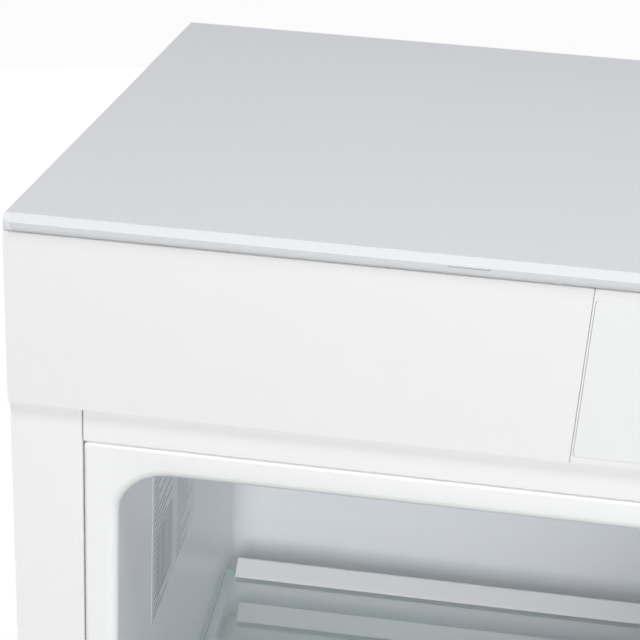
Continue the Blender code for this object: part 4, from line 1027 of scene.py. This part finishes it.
class Carried:
    """What is done with the frame's own nodes."""

    MERGE_REACH = 0.01 * MM
    FLAT_DEGREES = 0.5
    EDGE = 0.3 * MM

    @staticmethod
    def slot_of(node: str) -> str:
        """Names a node's slot in the record."""
        return next(part["material_slot"] for part in frame["record"]["subparts"] if part["node"] == node)

    @staticmethod
    def dress(look: bpy.types.Material, *nodes: str) -> None:
        """Gives nodes that stay a better material.

        Args:
            look: The material.
            nodes: The nodes.
        """
        for node in nodes:
            for slot in frame["nodes"][node].material_slots:
                slot.material = look
            LOG.info("%s: dressed in %s", node, look.name)

    @staticmethod
    def copy_of(node: str, name: str, flatten: bool = False) -> bpy.types.Object:
        """Copies a node and merges the copy's loose triangles.

        Args:
            node: The node.
            name: The copy's name.
            flatten: Whether triangles that lie in one plane become one face.

        Returns:
            The copy.
        """
        made = bpy.data.objects.new(name, frame["nodes"][node].data.copy())
        made.data.name = name
        bpy.context.scene.collection.objects.link(made)
        Bench.choose(made)
        bpy.ops.mesh.customdata_custom_splitnormals_clear()
        bpy.ops.object.mode_set(mode="EDIT")
        bpy.ops.mesh.select_all(action="SELECT")
        bpy.ops.mesh.remove_doubles(threshold=Carried.MERGE_REACH)
        if flatten:
            bpy.ops.mesh.dissolve_limited(angle_limit=math.radians(Carried.FLAT_DEGREES))
        Bench.clear()
        return made

    @staticmethod
    def refine(
        node: str, look: bpy.types.Material, width: float = 0.0, angle: float = 32.0
    ) -> bpy.types.Object:
        """Stands a merged copy in for a node, with rounded edges and smooth round faces.

        Args:
            node: The node.
            look: The copy's material.
            width: The width that its hard edges are rounded by.
            angle: The least angle of a hard edge, in degrees.

        Returns:
            The copy.
        """
        made = Carried.copy_of(node, f"{node}_surface", width > 0)
        Bench.soften(made, width, angle=angle)
        Bench.finish(made, look, Carried.slot_of(node), frame["nodes"][node]["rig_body"])
        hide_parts(node)
        return made


@dataclass
class Fasteners:
    """Pan-head screws with a cross recess."""

    palette: Palette
    head_radius: float = 3.6 * MM
    head_height: float = 1.6 * MM
    head_edge: float = 0.3 * MM
    recess_width: float = 0.8 * MM
    recess_length: float = 3.6 * MM
    recess_depth: float = 0.9 * MM
    recess_top: float = 1.3
    crown_inset: float = 0.35
    crown_rise: float = 0.25
    first_turn: float = 23.0
    next_turn: float = 41.0
    sides: int = 20
    count: int = 0

    def master(self) -> bpy.types.Object:
        """Models one head that stands on Z = 0 and looks up.

        Returns:
            The head.
        """
        half = self.head_height / 2
        head = Bench.drum("screw", (0.0, 0.0, half), self.head_radius, self.head_height, self.sides)
        Bench.pick(head, lambda face: face.normal.z > FACING)
        bpy.ops.mesh.inset(thickness=self.head_radius * self.crown_inset)
        bpy.ops.transform.translate(value=(0.0, 0.0, self.head_height * self.crown_rise))
        Bench.clear()
        Bench.soften(head, self.head_edge, 2, 20.0)
        top = self.head_height * self.recess_top
        arms = (self.recess_length, self.recess_width)
        for along, across in (arms, arms[::-1]):
            low = (-along / 2, -across / 2, top - self.recess_depth)
            Bench.carve(head, Bench.block("recess", low, (along / 2, across / 2, top + MM)))
        return Bench.soften(head, angle=25.0)

    def fit(self, name: str, places: list[Point], way: Axis) -> None:
        """Sets a group of screws on a face, as one piece.

        Args:
            name: The group's name.
            places: The points where the heads sit.
            way: The direction that the heads look in.
        """
        master = self.master()
        turn = Vector(way.value).to_track_quat("Z", "Y").to_matrix().to_4x4()
        heads = []
        for index, place in enumerate(places):
            spin = Matrix.Rotation(math.radians(self.first_turn + self.next_turn * index), 4, "Z")
            heads.append(Bench.copy_to(master, f"{name}_{index}", Matrix.Translation(place) @ turn @ spin))
        bpy.data.objects.remove(master)
        self.count += len(places)
        Bench.finish(Bench.merge(name, heads), self.palette["zinc_steel"], "zinc_steel")


@dataclass
class Casing:
    """The top with its trim, the fascia and the painted frame."""

    palette: Palette
    fasteners: Fasteners
    nose_rise: float = 6.3 * MM
    nose_blunt: float = 0.35 * MM
    undercut_bulge: float = 0.8 * MM
    undercut_recess: float = 1.4 * MM
    undercut_steps: int = 8
    top_edge: float = 0.25 * MM
    trim_joint: float = 0.12 * MM
    slot_from_left: float = 226.0 * MM
    slot_length: float = 21.5 * MM
    slot_rise: float = 4.9 * MM
    slot_height: float = 0.5 * MM
    slot_depth: float = 1.6 * MM
    overlay_growth: float = 0.22 * MM
    overlay_edge: float = 0.12 * MM
    seam_closing: float = 0.205 * MM
    lining_thickness: float = 0.15 * MM
    back_screw_inset: float = 12.0 * MM
    back_screw_rows: int = 4

    def build(self) -> None:
        """Dresses the casing and adds its fasteners."""
        self.top()
        self.fascia()
        self.frame()
        self.back()

    def top(self) -> None:
        """Dresses the laminate top and models its front trim anew, with the round undercut."""
        Carried.refine("top_board", self.palette["top_laminate"], self.top_edge)
        ends = {"trim_end_left": (0.0, 1.0), "front_trim": (1.0, 1.0), "trim_end_right": (1.0, 0.0)}
        for node, (first, last) in ends.items():
            piece = self.trim(node, self.profile(first), self.profile(last))
            if node == "front_trim":
                self.trim_slot(piece)
            Bench.soften(piece, angle=24.0)
            Bench.finish(piece, self.palette["trim_white"], "trim_white")
            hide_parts(node)

    def profile(self, proud: float) -> list[Span]:
        """Returns the trim's (y, z) outline: a flat top slope and a round undercut under a crisp nose.

        Args:
            proud: 1 for the full nose, and 0 where the nose has fallen back to the board's corner.

        Returns:
            The points, from the back foot round to the back top.
        """
        low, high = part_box("front_trim")
        foot_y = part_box("fascia_panel")[0].y + self.undercut_recess
        nose_y = foot_y + (low.y - foot_y) * proud
        foot, nose = Vector((foot_y, low.z)), Vector((nose_y, low.z + self.nose_rise))
        bulge = Vector((nose.y - foot.y, foot.x - nose.x)).normalized() * -self.undercut_bulge * proud
        points = [(high.y, low.z), tuple(foot)]
        for step in range(1, self.undercut_steps):
            share = step / self.undercut_steps
            points.append(tuple(foot.lerp(nose, share) + bulge * math.sin(math.pi * share)))
        blunt = (nose.x + self.nose_blunt, nose.y + self.nose_blunt / 2)
        return points + [tuple(nose), blunt, (high.y, high.z)]

    def trim(self, node: str, first: list[Span], last: list[Span]) -> bpy.types.Object:
        """Sweeps the trim between two outlines over the length of a node.

        Args:
            node: The node that gives the length.
            first: The outline at its left end.
            last: The outline at its right end.

        Returns:
            The trim, before its edges are softened.
        """
        low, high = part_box(node)
        Bench.clear()
        bpy.ops.mesh.primitive_circle_add(vertices=len(first), radius=0.01, fill_type="NGON")
        bpy.ops.object.mode_set(mode="EDIT")
        mesh = bmesh.from_edit_mesh(bpy.context.object.data)
        start = low.x - (self.trim_joint if node != "trim_end_left" else 0.0)
        end = high.x + (self.trim_joint if node != "trim_end_right" else 0.0)
        for vertex, (y, z) in zip(mesh.verts, first):
            vertex.co = (start, y, z)
        bmesh.update_edit_mesh(bpy.context.object.data)
        bpy.ops.mesh.select_all(action="SELECT")
        Bench.extrude((end - start, 0.0, 0.0))
        mesh = bmesh.from_edit_mesh(bpy.context.object.data)
        mesh.verts.ensure_lookup_table()
        for vertex, (y, z) in zip([vertex for vertex in mesh.verts if vertex.select], last):
            vertex.co = (end, y, z)
        bmesh.update_edit_mesh(bpy.context.object.data)
        bpy.ops.mesh.select_all(action="SELECT")
        bpy.ops.mesh.normals_make_consistent(inside=False)
        Bench.clear()
        return Bench.settle(f"{node}_surface")

    def trim_slot(self, trim: bpy.types.Object) -> None:
        """Cuts the short slot into the trim's undercut.

        Args:
            trim: The trim to cut.
        """
        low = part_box("front_trim")[0]
        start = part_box("side_panel_left")[0].x + self.slot_from_left
        level = low.z + self.slot_rise
        corner = (start + self.slot_length, low.y + self.slot_depth, level + self.slot_height)
        Bench.carve(trim, Bench.block("slot", (start, low.y - MM, level), corner))

    def fascia(self) -> None:
        """Dresses both halves of the fascia, the overlay and the keys."""
        moulding = self.palette["fascia_white"]
        still, inward = (0.0, 0.0, 0.0), (self.seam_closing, 0.0, 0.0)
        Bench.spread(Carried.refine("fascia_panel", moulding), still, inward)
        Bench.spread(Carried.refine("control_panel", moulding), inward, still)
        overlay = Carried.refine("control_overlay", self.palette["overlay_gloss"])
        growth = (self.overlay_growth, 0.0, self.overlay_growth)
        Bench.spread(overlay, growth, growth)
        Bench.soften(overlay, self.overlay_edge)
        for key in ("power_key", "cooling_key", "fast_cool_key"):
            Carried.refine(key, moulding, Carried.EDGE)
        Carried.dress(self.palette["circuit_board"], "control_board")

    def frame(self) -> None:
        """Dresses the folded steel round the opening and the plinth."""
        paint = self.palette["painted_white"]
        for node in ("side_panel_left", "side_panel_right", "upper_rail", "lower_rail"):
            Carried.refine(node, paint)
        Carried.refine("plinth_grille", self.palette["moulded_white"], Carried.EDGE)

    def room_lining(self) -> None:
        """Lines the machine room's front wall and ceiling with thin sheet."""
        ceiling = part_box("back_panel")[0].z
        made = Carried.copy_of("insulation_foam", "room_lining")
        Bench.pick(
            made,
            lambda face: (face.normal.y > FACING and face.calc_center_median().z < ceiling)
            or (face.normal.z < -FACING and abs(face.calc_center_median().z - ceiling) < MM),
        )
        bpy.ops.mesh.select_all(action="INVERT")
        bpy.ops.mesh.delete(type="FACE")
        Bench.choose(made)
        wall = made.modifiers.new("wall", "SOLIDIFY")
        wall.thickness = self.lining_thickness
        wall.offset = 1.0
        bpy.ops.object.modifier_apply(modifier=wall.name)
        Bench.soften(made)
        Bench.finish(made, self.palette["zinc_steel"], "zinc_steel")

    def back(self) -> None:
        """Dresses the back, the deck and the base, and screws the back on."""
        self.room_lining()
        Carried.dress(self.palette["painted_white"], "back_panel")
        Carried.dress(self.palette["insulation"], "insulation_foam")
        Carried.dress(self.palette["zinc_steel"], "deck_plate")
        Carried.refine("base_tray", self.palette["zinc_steel"])
        low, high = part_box("back_panel")
        inset = self.back_screw_inset
        step = (high.z - low.z - 2 * inset) / (self.back_screw_rows - 1)
        levels = [low.z + inset + row * step for row in range(self.back_screw_rows)]
        places = [(x, high.y, level) for level in levels for x in (low.x + inset, high.x - inset)]
        self.fasteners.fit("back_screws", places, Axis.BACK)


@dataclass
class Interior:
    """The liner with its label, the shelves, the crispers and the lamp."""

    palette: Palette
    label_length: float = 140.0 * MM
    label_height: float = 118.0 * MM
    label_front: float = 61.5 * MM
    label_foot: float = 509.0 * MM
    label_thickness: float = 0.25 * MM
    label_corner: float = 3.0 * MM
    label_corner_steps: int = 5
    label_edge: float = 0.05 * MM
    glass_edge: float = 0.5 * MM
    lamp_edge: float = 0.4 * MM
    joint_closing_side: float = 1.4 * MM
    joint_closing_top: float = 0.95 * MM

    def build(self) -> None:
        """Dresses the inside."""
        liner = Carried.refine("inner_liner", self.palette["liner_white"], angle=48.0)
        growth = (self.joint_closing_side, 0.0, self.joint_closing_top)
        Bench.spread(liner, growth, growth)
        self.label(liner)
        glass = self.palette["shelf_glass"]
        for shelf in ("glass_shelf", "crisper_cover"):
            Carried.refine(shelf, glass, self.glass_edge)
            for end in ("front", "rear"):
                Carried.refine(f"{shelf}_{end}_trim", self.palette["moulded_white"], Carried.EDGE)
        for drawer in ("crisper_left", "crisper_right"):
            Carried.refine(drawer, self.palette["clear_plastic"])
        Carried.refine("lamp_housing", self.palette["moulded_white"], self.lamp_edge)
        Carried.refine("lamp_diffuser", self.palette["lamp_diffuser"])

    def label(self, liner: bpy.types.Object) -> None:
        """Models the bare label on the left wall.

        Args:
            liner: The liner that it lies on.
        """
        wall = self.wall_at(liner, self.label_front + self.label_length / 2)
        low = (wall, self.label_front, self.label_foot)
        high = (wall + self.label_thickness, low[1] + self.label_length, low[2] + self.label_height)
        made = Bench.block("inner_label", low, high)
        Bench.choose(made)
        bpy.ops.object.mode_set(mode="EDIT")
        bpy.ops.mesh.select_mode(type="EDGE")
        bpy.ops.mesh.select_all(action="DESELECT")
        mesh = bmesh.from_edit_mesh(made.data)
        for edge in mesh.edges:
            first, last = (vertex.co for vertex in edge.verts)
            edge.select_set(abs(first.x - last.x) > self.label_thickness / 2)
        bmesh.update_edit_mesh(made.data)
        bpy.ops.mesh.bevel(offset=self.label_corner, segments=self.label_corner_steps, affect="EDGES")
        Bench.clear()
        Bench.soften(made, self.label_edge, 1)
        Bench.finish(made, self.palette["inner_label"], "trim_white")

    @staticmethod
    def wall_at(liner: bpy.types.Object, y: float) -> float:
        """Finds the left wall's inner face at a depth.

        Args:
            liner: The liner.
            y: The depth.

        Returns:
            The wall's X.
        """
        low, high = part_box("inner_liner")
        hit, place, _, _ = liner.ray_cast(Vector((0.0, y, (low.z + high.z) / 2)), Vector((-1.0, 0.0, 0.0)))
        return place.x if hit else low.x


@dataclass
class Door:
    """The door with its seal, racks and hinges."""

    palette: Palette
    fasteners: Fasteners
    screw_inset: float = 9.0 * MM
    screw_rise: float = 0.3
    leg_inset: float = 2.8 * MM

    def build(self) -> None:
        """Dresses the door and screws its hinges on."""
        Carried.refine("door_skin", self.palette["painted_white"])
        Carried.dress(self.palette["insulation"], "door_foam")
        for node in ("door_cap_top", "door_cap_bottom", "door_grip"):
            Carried.refine(node, self.palette["moulded_white"], Carried.EDGE)
        Carried.refine("door_liner", self.palette["liner_white"], angle=48.0)
        Carried.refine("door_gasket", self.palette["gasket_rubber"], angle=50.0)
        for rack in ("bottle_rack", "middle_rack", "upper_rack"):
            Carried.refine(rack, self.palette["clear_plastic"], angle=38.0)
        for level in ("upper", "lower"):
            Carried.refine(f"{level}_hinge_bracket", self.palette["zinc_steel"], Carried.EDGE)
            Carried.refine(f"{level}_hinge_pin", self.palette["zinc_steel"])
        self.hinge_screws()

    def hinge_screws(self) -> None:
        """Adds the screws of the lower bracket's leg."""
        low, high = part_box("lower_hinge_bracket")
        level = low.z + (high.z - low.z) * self.screw_rise
        leg = high.y - self.leg_inset
        places = [(low.x + self.screw_inset, leg, level), (high.x - self.screw_inset, leg, level)]
        self.fasteners.fit("lower_hinge_screws", places, Axis.FRONT)


@dataclass
class Machinery:
    """The compressor, the condenser and what joins them, and the feet."""

    palette: Palette
    fasteners: Fasteners
    pipe_radius: float = 3.0 * MM
    bend_radius: float = 9.0 * MM
    capillary_radius: float = 1.0 * MM
    port_share: float = 0.42
    discharge_port: Span = (16.0 * MM, 20.0 * MM)
    riser_gap: float = 5.0 * MM
    sleeve: float = 4.0 * MM
    suction_port: Span = (48.0 * MM, 32.0 * MM)
    suction_riser: Span = (14.0 * MM, 60.0 * MM)
    stub_port: Span = (-10.0 * MM, 50.0 * MM)
    stub_share: float = 0.8
    stub_reach: float = 12.0 * MM
    stub_rise: float = 30.0 * MM
    ceiling_gap: float = 0.3 * MM
    neck_share: float = 0.85
    neck_reach: float = 14.0 * MM
    neck_turn: float = 8.0 * MM
    drier_radius: float = 8.0 * MM
    drier_length: float = 60.0 * MM
    drier_sides: int = 28
    drier_neck: float = 11.0 * MM
    drier_edge: float = 0.8 * MM
    drier_cone: float = 0.7
    drier_taper: float = 0.36
    drier_drop: float = 12.0 * MM
    capillary_drop: float = 12.0 * MM
    capillary_turn: Span = (30.0 * MM, -22.0 * MM)
    coil_passes: int = 10
    coil_radius: float = 2.5 * MM
    bend_play: float = 0.01 * MM
    wires: int = 14
    wire_radius: float = 0.8 * MM
    wire_sides: int = 8
    wire_margin: float = 12.0 * MM
    wire_sink: float = 0.6
    wire_tip: float = 0.4 * MM
    wire_taper: float = 0.4
    clip_from_end: float = 30.0 * MM
    clip_half: Span = (8.0 * MM, 6.0 * MM)
    clip_gap: float = 0.2 * MM
    clip_cover: float = 0.8 * MM
    clip_rim: float = 2.0 * MM
    clip_dent: float = 0.5 * MM
    clip_edge: float = 0.6 * MM
    plate_thickness: float = 3.0 * MM

    def build(self) -> None:
        """Dresses the machine room and adds the pipes."""
        enamel = self.palette["black_enamel"]
        Carried.refine("compressor", enamel, angle=28.0)
        self.coil(enamel)
        plastic = self.palette["black_plastic"]
        for node in ("relay_cover", "power_inlet", "power_module"):
            Carried.refine(node, plastic, angle=25.0)
        Carried.refine("evaporation_tray", plastic, angle=40.0)
        Carried.refine("drain_spout", self.palette["moulded_white"])
        for index in range(1, 5):
            Carried.refine(f"compressor_grommet_{index}", self.palette["black_rubber"])
        for row in ("front", "rear"):
            for side in ("left", "right"):
                Carried.refine(f"foot_{row}_{side}", plastic)
        self.pipes()
        self.mount_screws()

    def pipes(self) -> None:
        """Models the pipes between the compressor, the condenser and the evaporator in the foam."""
        low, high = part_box("compressor")
        middle = (low + high) / 2
        level = low.z + (high.z - low.z) * self.port_share
        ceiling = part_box("back_panel")[0].z - self.ceiling_gap
        inlet, outlet = self.coil_ends()
        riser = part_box("condenser")[0].x - self.riser_gap
        port = middle.y + self.discharge_port[1]
        discharge = [
            (low.x + self.discharge_port[0], port, level),
            (riser, port, level),
            (riser, inlet.y, level),
            (riser, inlet.y, inlet.z),
            (inlet.x + self.sleeve, inlet.y, inlet.z),
        ]
        self.pipe("discharge_pipe", discharge, self.pipe_radius)
        suction_x, suction_y = high.x + self.suction_riser[0], middle.y + self.suction_riser[1]
        suction = [
            (middle.x + self.suction_port[0], middle.y + self.suction_port[1], level),
            (suction_x, suction_y, level),
            (suction_x, suction_y, ceiling),
        ]
        self.pipe("suction_pipe", suction, self.pipe_radius)
        stub_x, stub_y = middle.x + self.stub_port[0], high.y + self.stub_reach
        stub = [
            (stub_x, middle.y + self.stub_port[1], level),
            (stub_x, stub_y, level),
            (stub_x, stub_y, level + self.stub_rise),
        ]
        self.pipe("process_pipe", stub, self.pipe_radius * self.stub_share)
        self.drier(outlet, ceiling)

    def coil(self, look: bpy.types.Material) -> None:
        """Models the condenser anew, with smooth bends, in its node's own places.

        Args:
            look: Its material.
        """
        first, last = self.coil_ends()
        pitch = (first.z - last.z) / (self.coil_passes - 1)
        far = pitch / 2 - first.x
        corners = [first]
        for index in range(self.coil_passes - 1):
            x = far if index % 2 == 0 else -far
            level = first.z - index * pitch
            corners += [(x, first.y, level), (x, first.y, level - pitch)]
        corners.append(last)
        tube = Bench.pipe("condenser_coil", corners, self.coil_radius, pitch / 2 - self.bend_play)
        parts = [tube, *self.clips(first, last), *self.coil_wires(first, last)]
        made = Bench.merge("condenser_coil", parts)
        Bench.finish(made, look, Carried.slot_of("condenser"))
        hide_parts("condenser")

    def coil_wires(self, first: Vector, last: Vector) -> list[bpy.types.Object]:
        """Models the upright wires that are welded across the condenser's tube.

        Args:
            first: The tube's upper end.
            last: Its lower end.

        Returns:
            The wires.
        """
        half = -first.x - self.wire_margin
        outer = first.y + self.coil_radius + self.wire_radius * (1 - self.wire_sink)
        centre = (-half, outer, (first.z + last.z) / 2)
        length = first.z - last.z + self.wire_margin
        wire = Bench.drum("wire", centre, self.wire_radius, length, self.wire_sides)
        for sign in (1, -1):
            Bench.pick(wire, lambda face: face.normal.z * sign > FACING)
            Bench.extrude((0.0, 0.0, sign * self.wire_tip))
            bpy.ops.transform.resize(value=(self.wire_taper, self.wire_taper, 1.0))
        Bench.soften(wire, angle=60.0)
        step = 2 * half / (self.wires - 1)
        moves = [Matrix.Translation((step * index, 0.0, 0.0)) for index in range(1, self.wires)]
        return [wire, *(Bench.copy_to(wire, "wire", move) for move in moves)]

    def clips(self, first: Vector, last: Vector) -> list[bpy.types.Object]:
        """Models the four clips that hold the condenser's tube off the back.

        Args:
            first: The tube's upper end.
            last: Its lower end.

        Returns:
            The clips.
        """
        x, panel = first.x + self.clip_from_end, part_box("back_panel")[1].y
        across, up = self.clip_half
        low = (x - across, panel + self.clip_gap, first.z - up)
        high = (x + across, first.y + self.coil_radius + self.clip_cover, first.z + up)
        clip = Bench.block("clip", low, high)
        Bench.pick(clip, lambda face: face.normal.y > FACING)
        bpy.ops.mesh.inset(thickness=self.clip_rim, depth=-self.clip_dent)
        Bench.soften(clip, self.clip_edge)
        drop = last.z - first.z
        shifts = ((-2 * x, 0.0, 0.0), (0.0, 0.0, drop), (-2 * x, 0.0, drop))
        return [clip, *(Bench.copy_to(clip, "clip", Matrix.Translation(shift)) for shift in shifts)]

    @staticmethod
    def coil_ends() -> tuple[Vector, Vector]:
        """Finds the middles of the condenser tube's two cut ends, the upper one first.

        Returns:
            The upper end and the lower end.
        """
        mesh = frame["nodes"]["condenser"].data
        caps = [face for face in mesh.polygons if face.normal.x < -0.999]
        edge = min(face.center.x for face in caps)
        spots = {index for face in caps if face.center.x < edge + 0.1 * MM for index in face.vertices}
        ring = [mesh.vertices[index].co for index in spots]
        half = sum(spot.z for spot in ring) / len(ring)
        ends = ([spot for spot in ring if spot.z > half], [spot for spot in ring if spot.z <= half])
        return tuple(sum(group, Vector()) / len(group) for group in ends)

    def pipe(self, name: str, corners: list[Point], radius: float) -> None:
        """Models and dresses one copper pipe."""
        made = Bench.pipe(name, corners, radius, self.bend_radius)
        Bench.finish(made, self.palette["copper"], "zinc_steel")

    def drier(self, outlet: Vector, ceiling: float) -> None:
        """Models the filter drier under the condenser, with its neck and capillary.

        Args:
            outlet: The lower end of the condenser's tube.
            ceiling: The Z of the machine room's ceiling.
        """
        x = outlet.x - self.neck_reach
        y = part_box("condenser")[1].y - self.drier_radius - MM
        top = ceiling - self.drier_drop
        centre = (x, y, top - self.drier_neck - self.drier_length / 2)
        body = Bench.drum("filter_drier", centre, self.drier_radius, self.drier_length, self.drier_sides)
        for sign in (1, -1):
            Bench.pick(body, lambda face: face.normal.z * sign > FACING)
            Bench.extrude((0.0, 0.0, sign * self.drier_neck * self.drier_cone))
            bpy.ops.transform.resize(value=(self.drier_taper, self.drier_taper, 1.0))
            Bench.extrude((0.0, 0.0, sign * self.drier_neck * (1 - self.drier_cone)))
            Bench.clear()
        Bench.soften(body, self.drier_edge, 3, 25.0)
        Bench.finish(body, self.palette["copper"], "zinc_steel")
        neck = [
            (outlet.x + self.sleeve, outlet.y, outlet.z),
            (x, outlet.y, outlet.z),
            (x, outlet.y, ceiling + self.neck_turn),
            (x, y, top - MM),
        ]
        self.pipe("drier_neck", neck, self.pipe_radius * self.neck_share)
        foot = top - 2 * self.drier_neck - self.drier_length
        turn = foot - self.capillary_drop
        far_x, far_y = x + self.capillary_turn[0], y + self.capillary_turn[1]
        capillary = [(x, y, foot + MM), (x, y, turn), (far_x, far_y, turn), (far_x, far_y, ceiling)]
        self.pipe("capillary", capillary, self.capillary_radius)

    def mount_screws(self) -> None:
        """Adds a screw over each grommet of the compressor."""
        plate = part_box("compressor")[0].z + self.plate_thickness
        places = []
        for index in range(1, 5):
            low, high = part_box(f"compressor_grommet_{index}")
            places.append(((low.x + high.x) / 2, (low.y + high.y) / 2, plate))
        self.fasteners.fit("compressor_screws", places, Axis.UP)


@dataclass(frozen=True)
class SoftLight:
    """A square soft light, which the camera doesn't see.

    Its level is the share of full white that it gives a white face square to it at its target.
    """

    name: str
    place: Point
    target: Point
    size: float
    level: float

    def hang(self) -> None:
        """Adds the light to the scene."""
        reach = Vector(self.target) - Vector(self.place)
        lamp = bpy.data.lights.new(self.name, "AREA")
        lamp.shape = "SQUARE"
        lamp.size = self.size
        lamp.energy = self.level * (math.pi * reach.length) ** 2
        made = bpy.data.objects.new(self.name, lamp)
        made.location = self.place
        made.rotation_euler = reach.to_track_quat("-Z", "Y").to_euler()
        made.visible_camera = False
        bpy.context.scene.collection.objects.link(made)


@dataclass
class Studio:
    """The floor, the lights and the camera."""

    focal_pixels: float = 1408.0
    frame_pixels: float = 640.0
    eye: Point = (-0.0759, -0.6837, 1.0678)
    pitch: float = 23.76
    roll: float = 3.73
    yaw: float = -5.12
    nearest: float = 20.0 * MM
    floor_half: float = 14.0
    world_level: float = 0.22
    floor_albedo: float = 0.43
    shown_white: float = 0.86
    glow: float = 1.10
    lights: tuple[SoftLight, ...] = (
        SoftLight("key_light", (0.10, -0.75, 2.90), (0.0, -0.03, 0.75), 0.50, 0.54),
        SoftLight("front_light", (0.32, -3.10, 1.75), (0.0, 0.0, 0.50), 1.50, 0.57),
        SoftLight("left_fill", (-3.20, 0.20, 0.44), (0.0, 0.10, 0.44), 0.70, 0.34),
        SoftLight("right_fill", (3.20, 0.20, 0.44), (0.0, 0.10, 0.44), 0.70, 0.34),
        SoftLight("back_fill", (-1.30, 3.40, 0.44), (0.0, 0.40, 0.44), 0.70, 0.38),
    )

    def build(self) -> None:
        """Sets up everything that isn't the refrigerator."""
        self.world()
        self.floor()
        for light in self.lights:
            light.hang()
        self.camera()

    def world(self) -> None:
        """Makes the white surroundings: plain for the light, full white where they are seen."""
        world = bpy.data.worlds.new("studio_white")
        bpy.context.scene.world = world
        world.use_nodes = True
        graph = Graph(world.node_tree)
        seen = self.seen(graph)
        lit = graph.node("ShaderNodeBackground", values={"Color": WHITE, "Strength": self.world_level})
        shown = graph.node("ShaderNodeBackground", values={"Color": WHITE, "Strength": 1.0})
        mixed = graph.node("ShaderNodeMixShader", values={0: seen, 1: lit, 2: shown})
        graph.node_output("ShaderNodeOutputWorld", mixed)

    @staticmethod
    def seen(graph: Graph) -> Value:
        """Is 1 for rays that show the background itself, in a mirror or glass too.

        Args:
            graph: The graph to build in.

        Returns:
            The share.
        """
        rays = graph.node("ShaderNodeLightPath").socket.node.outputs
        seen = Value(graph, rays["Is Camera Ray"])
        for name in ("Is Glossy Ray", "Is Transmission Ray"):
            seen = seen.math("MAXIMUM", Value(graph, rays[name]))
        return seen

    def floor(self) -> None:
        """Lays a plain pale floor that keeps the shadow."""
        Bench.clear()
        bpy.ops.mesh.primitive_plane_add(size=2 * self.floor_half, location=(0.0, 0.0, 0.0))
        made = Bench.settle("studio_floor")
        look = bpy.data.materials.new("floor_white")
        look.use_nodes = True
        graph = Graph(look.node_tree)
        colour = graph.shade((self.floor_albedo,) * 3, graph.noise(0.8, 2.0), 0.01)
        matt = graph.node("ShaderNodeBsdfPrincipled", values={"Base Color": colour, "Roughness": 0.7})
        glow = graph.node("ShaderNodeEmission", values={"Color": WHITE, "Strength": self.glow})
        share = self.seen(graph) * self.shown_white
        mixed = graph.node("ShaderNodeMixShader", values={0: share, 1: matt, 2: glow})
        graph.node_output("ShaderNodeOutputMaterial", mixed)
        made.data.materials.append(look)
        made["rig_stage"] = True

    def camera(self) -> None:
        """Places the camera where the photograph was taken from."""
        pitch, roll, yaw = (math.radians(angle) for angle in (self.pitch, self.roll, self.yaw))
        ahead = Vector((math.sin(yaw) * math.cos(pitch), math.cos(yaw) * math.cos(pitch), -math.sin(pitch)))
        level = Vector((math.cos(yaw), -math.sin(yaw), 0.0))
        upright = level.cross(ahead)
        right = level * math.cos(roll) + upright * math.sin(roll)
        up = upright * math.cos(roll) - level * math.sin(roll)
        lens = bpy.data.cameras.new("camera")
        lens.lens = self.focal_pixels / self.frame_pixels * lens.sensor_width
        lens.clip_start = self.nearest
        made = bpy.data.objects.new("camera", lens)
        turn = Matrix((right, up, -ahead)).transposed().to_4x4()
        made.matrix_world = Matrix.Translation(self.eye) @ turn
        bpy.context.scene.collection.objects.link(made)
        bpy.context.scene.camera = made


def finishes(interior_front: float, interior_foot: float) -> tuple[Finish, ...]:
    """Lists every finish of the refrigerator.

    Args:
        interior_front: The Y of the label's front edge.
        interior_foot: The Z of the label's lower edge.

    Returns:
        The finishes.
    """
    return (
        SprayPaint("painted_white", (0.875, 0.875, 0.873), 0.34),
        Moulding("fascia_white", (0.835, 0.835, 0.831), 0.44),
        Moulding("trim_white", (0.805, 0.816, 0.838), 0.40),
        GlossPlate("overlay_gloss", (0.820, 0.834, 0.828), 0.10),
        EmbossedLaminate("top_laminate", (0.712, 0.722, 0.758), 0.46),
        FormedSheet("liner_white", (0.885, 0.888, 0.890), 0.34),
        Moulding("moulded_white", (0.85, 0.85, 0.85), 0.42),
        RigidFoam("insulation", (0.80, 0.70, 0.48), 0.9),
        ZincSheet("zinc_steel", (0.60, 0.61, 0.62), 0.34),
        DarkCoat("black_enamel", (0.030, 0.030, 0.032), 0.38),
        DarkCoat("black_plastic", (0.040, 0.040, 0.042), 0.46, 2.0, 0.3),
        SoftRubber("black_rubber", (0.040, 0.040, 0.040), 0.80),
        SoftRubber("gasket_rubber", (0.80, 0.80, 0.80), 0.62),
        ClearMoulding("clear_plastic", (0.84, 0.90, 0.93), 0.14),
        ToughenedGlass("shelf_glass", (0.80, 0.90, 0.88), 0.04),
        PrintedBoard("circuit_board", (0.030, 0.160, 0.080), 0.42),
        RibbedOpal("lamp_diffuser", (0.90, 0.90, 0.88), 0.36),
        DrawnCopper("copper", (0.78, 0.42, 0.27), 0.24),
        RuledLabel("inner_label", (0.83, 0.85, 0.87), 0.40, 1.0, interior_front, interior_foot),
    )


def corners() -> list[list[float]]:
    """Returns the shown object's lowest and highest corners as plain lists."""
    return [[float(part) for part in corner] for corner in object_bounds()]


def main() -> None:
    """Builds the refrigerator's looks round its frame."""
    logging.basicConfig(level=logging.INFO, format="%(name)s: %(message)s")
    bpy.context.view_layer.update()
    bpy.context.scene.view_settings.view_transform = "Standard"
    palette = Palette(finishes(Interior.label_front, Interior.label_foot))
    fasteners = Fasteners(palette)
    parts = (
        Casing(palette, fasteners),
        Interior(palette),
        Door(palette, fasteners),
        Machinery(palette, fasteners),
        Studio(),
    )
    for part in parts:
        part.build()
        LOG.info("%s built", type(part).__name__)
    LOG.info("%d screws", fasteners.count)


if __name__ == "__main__":
    main()
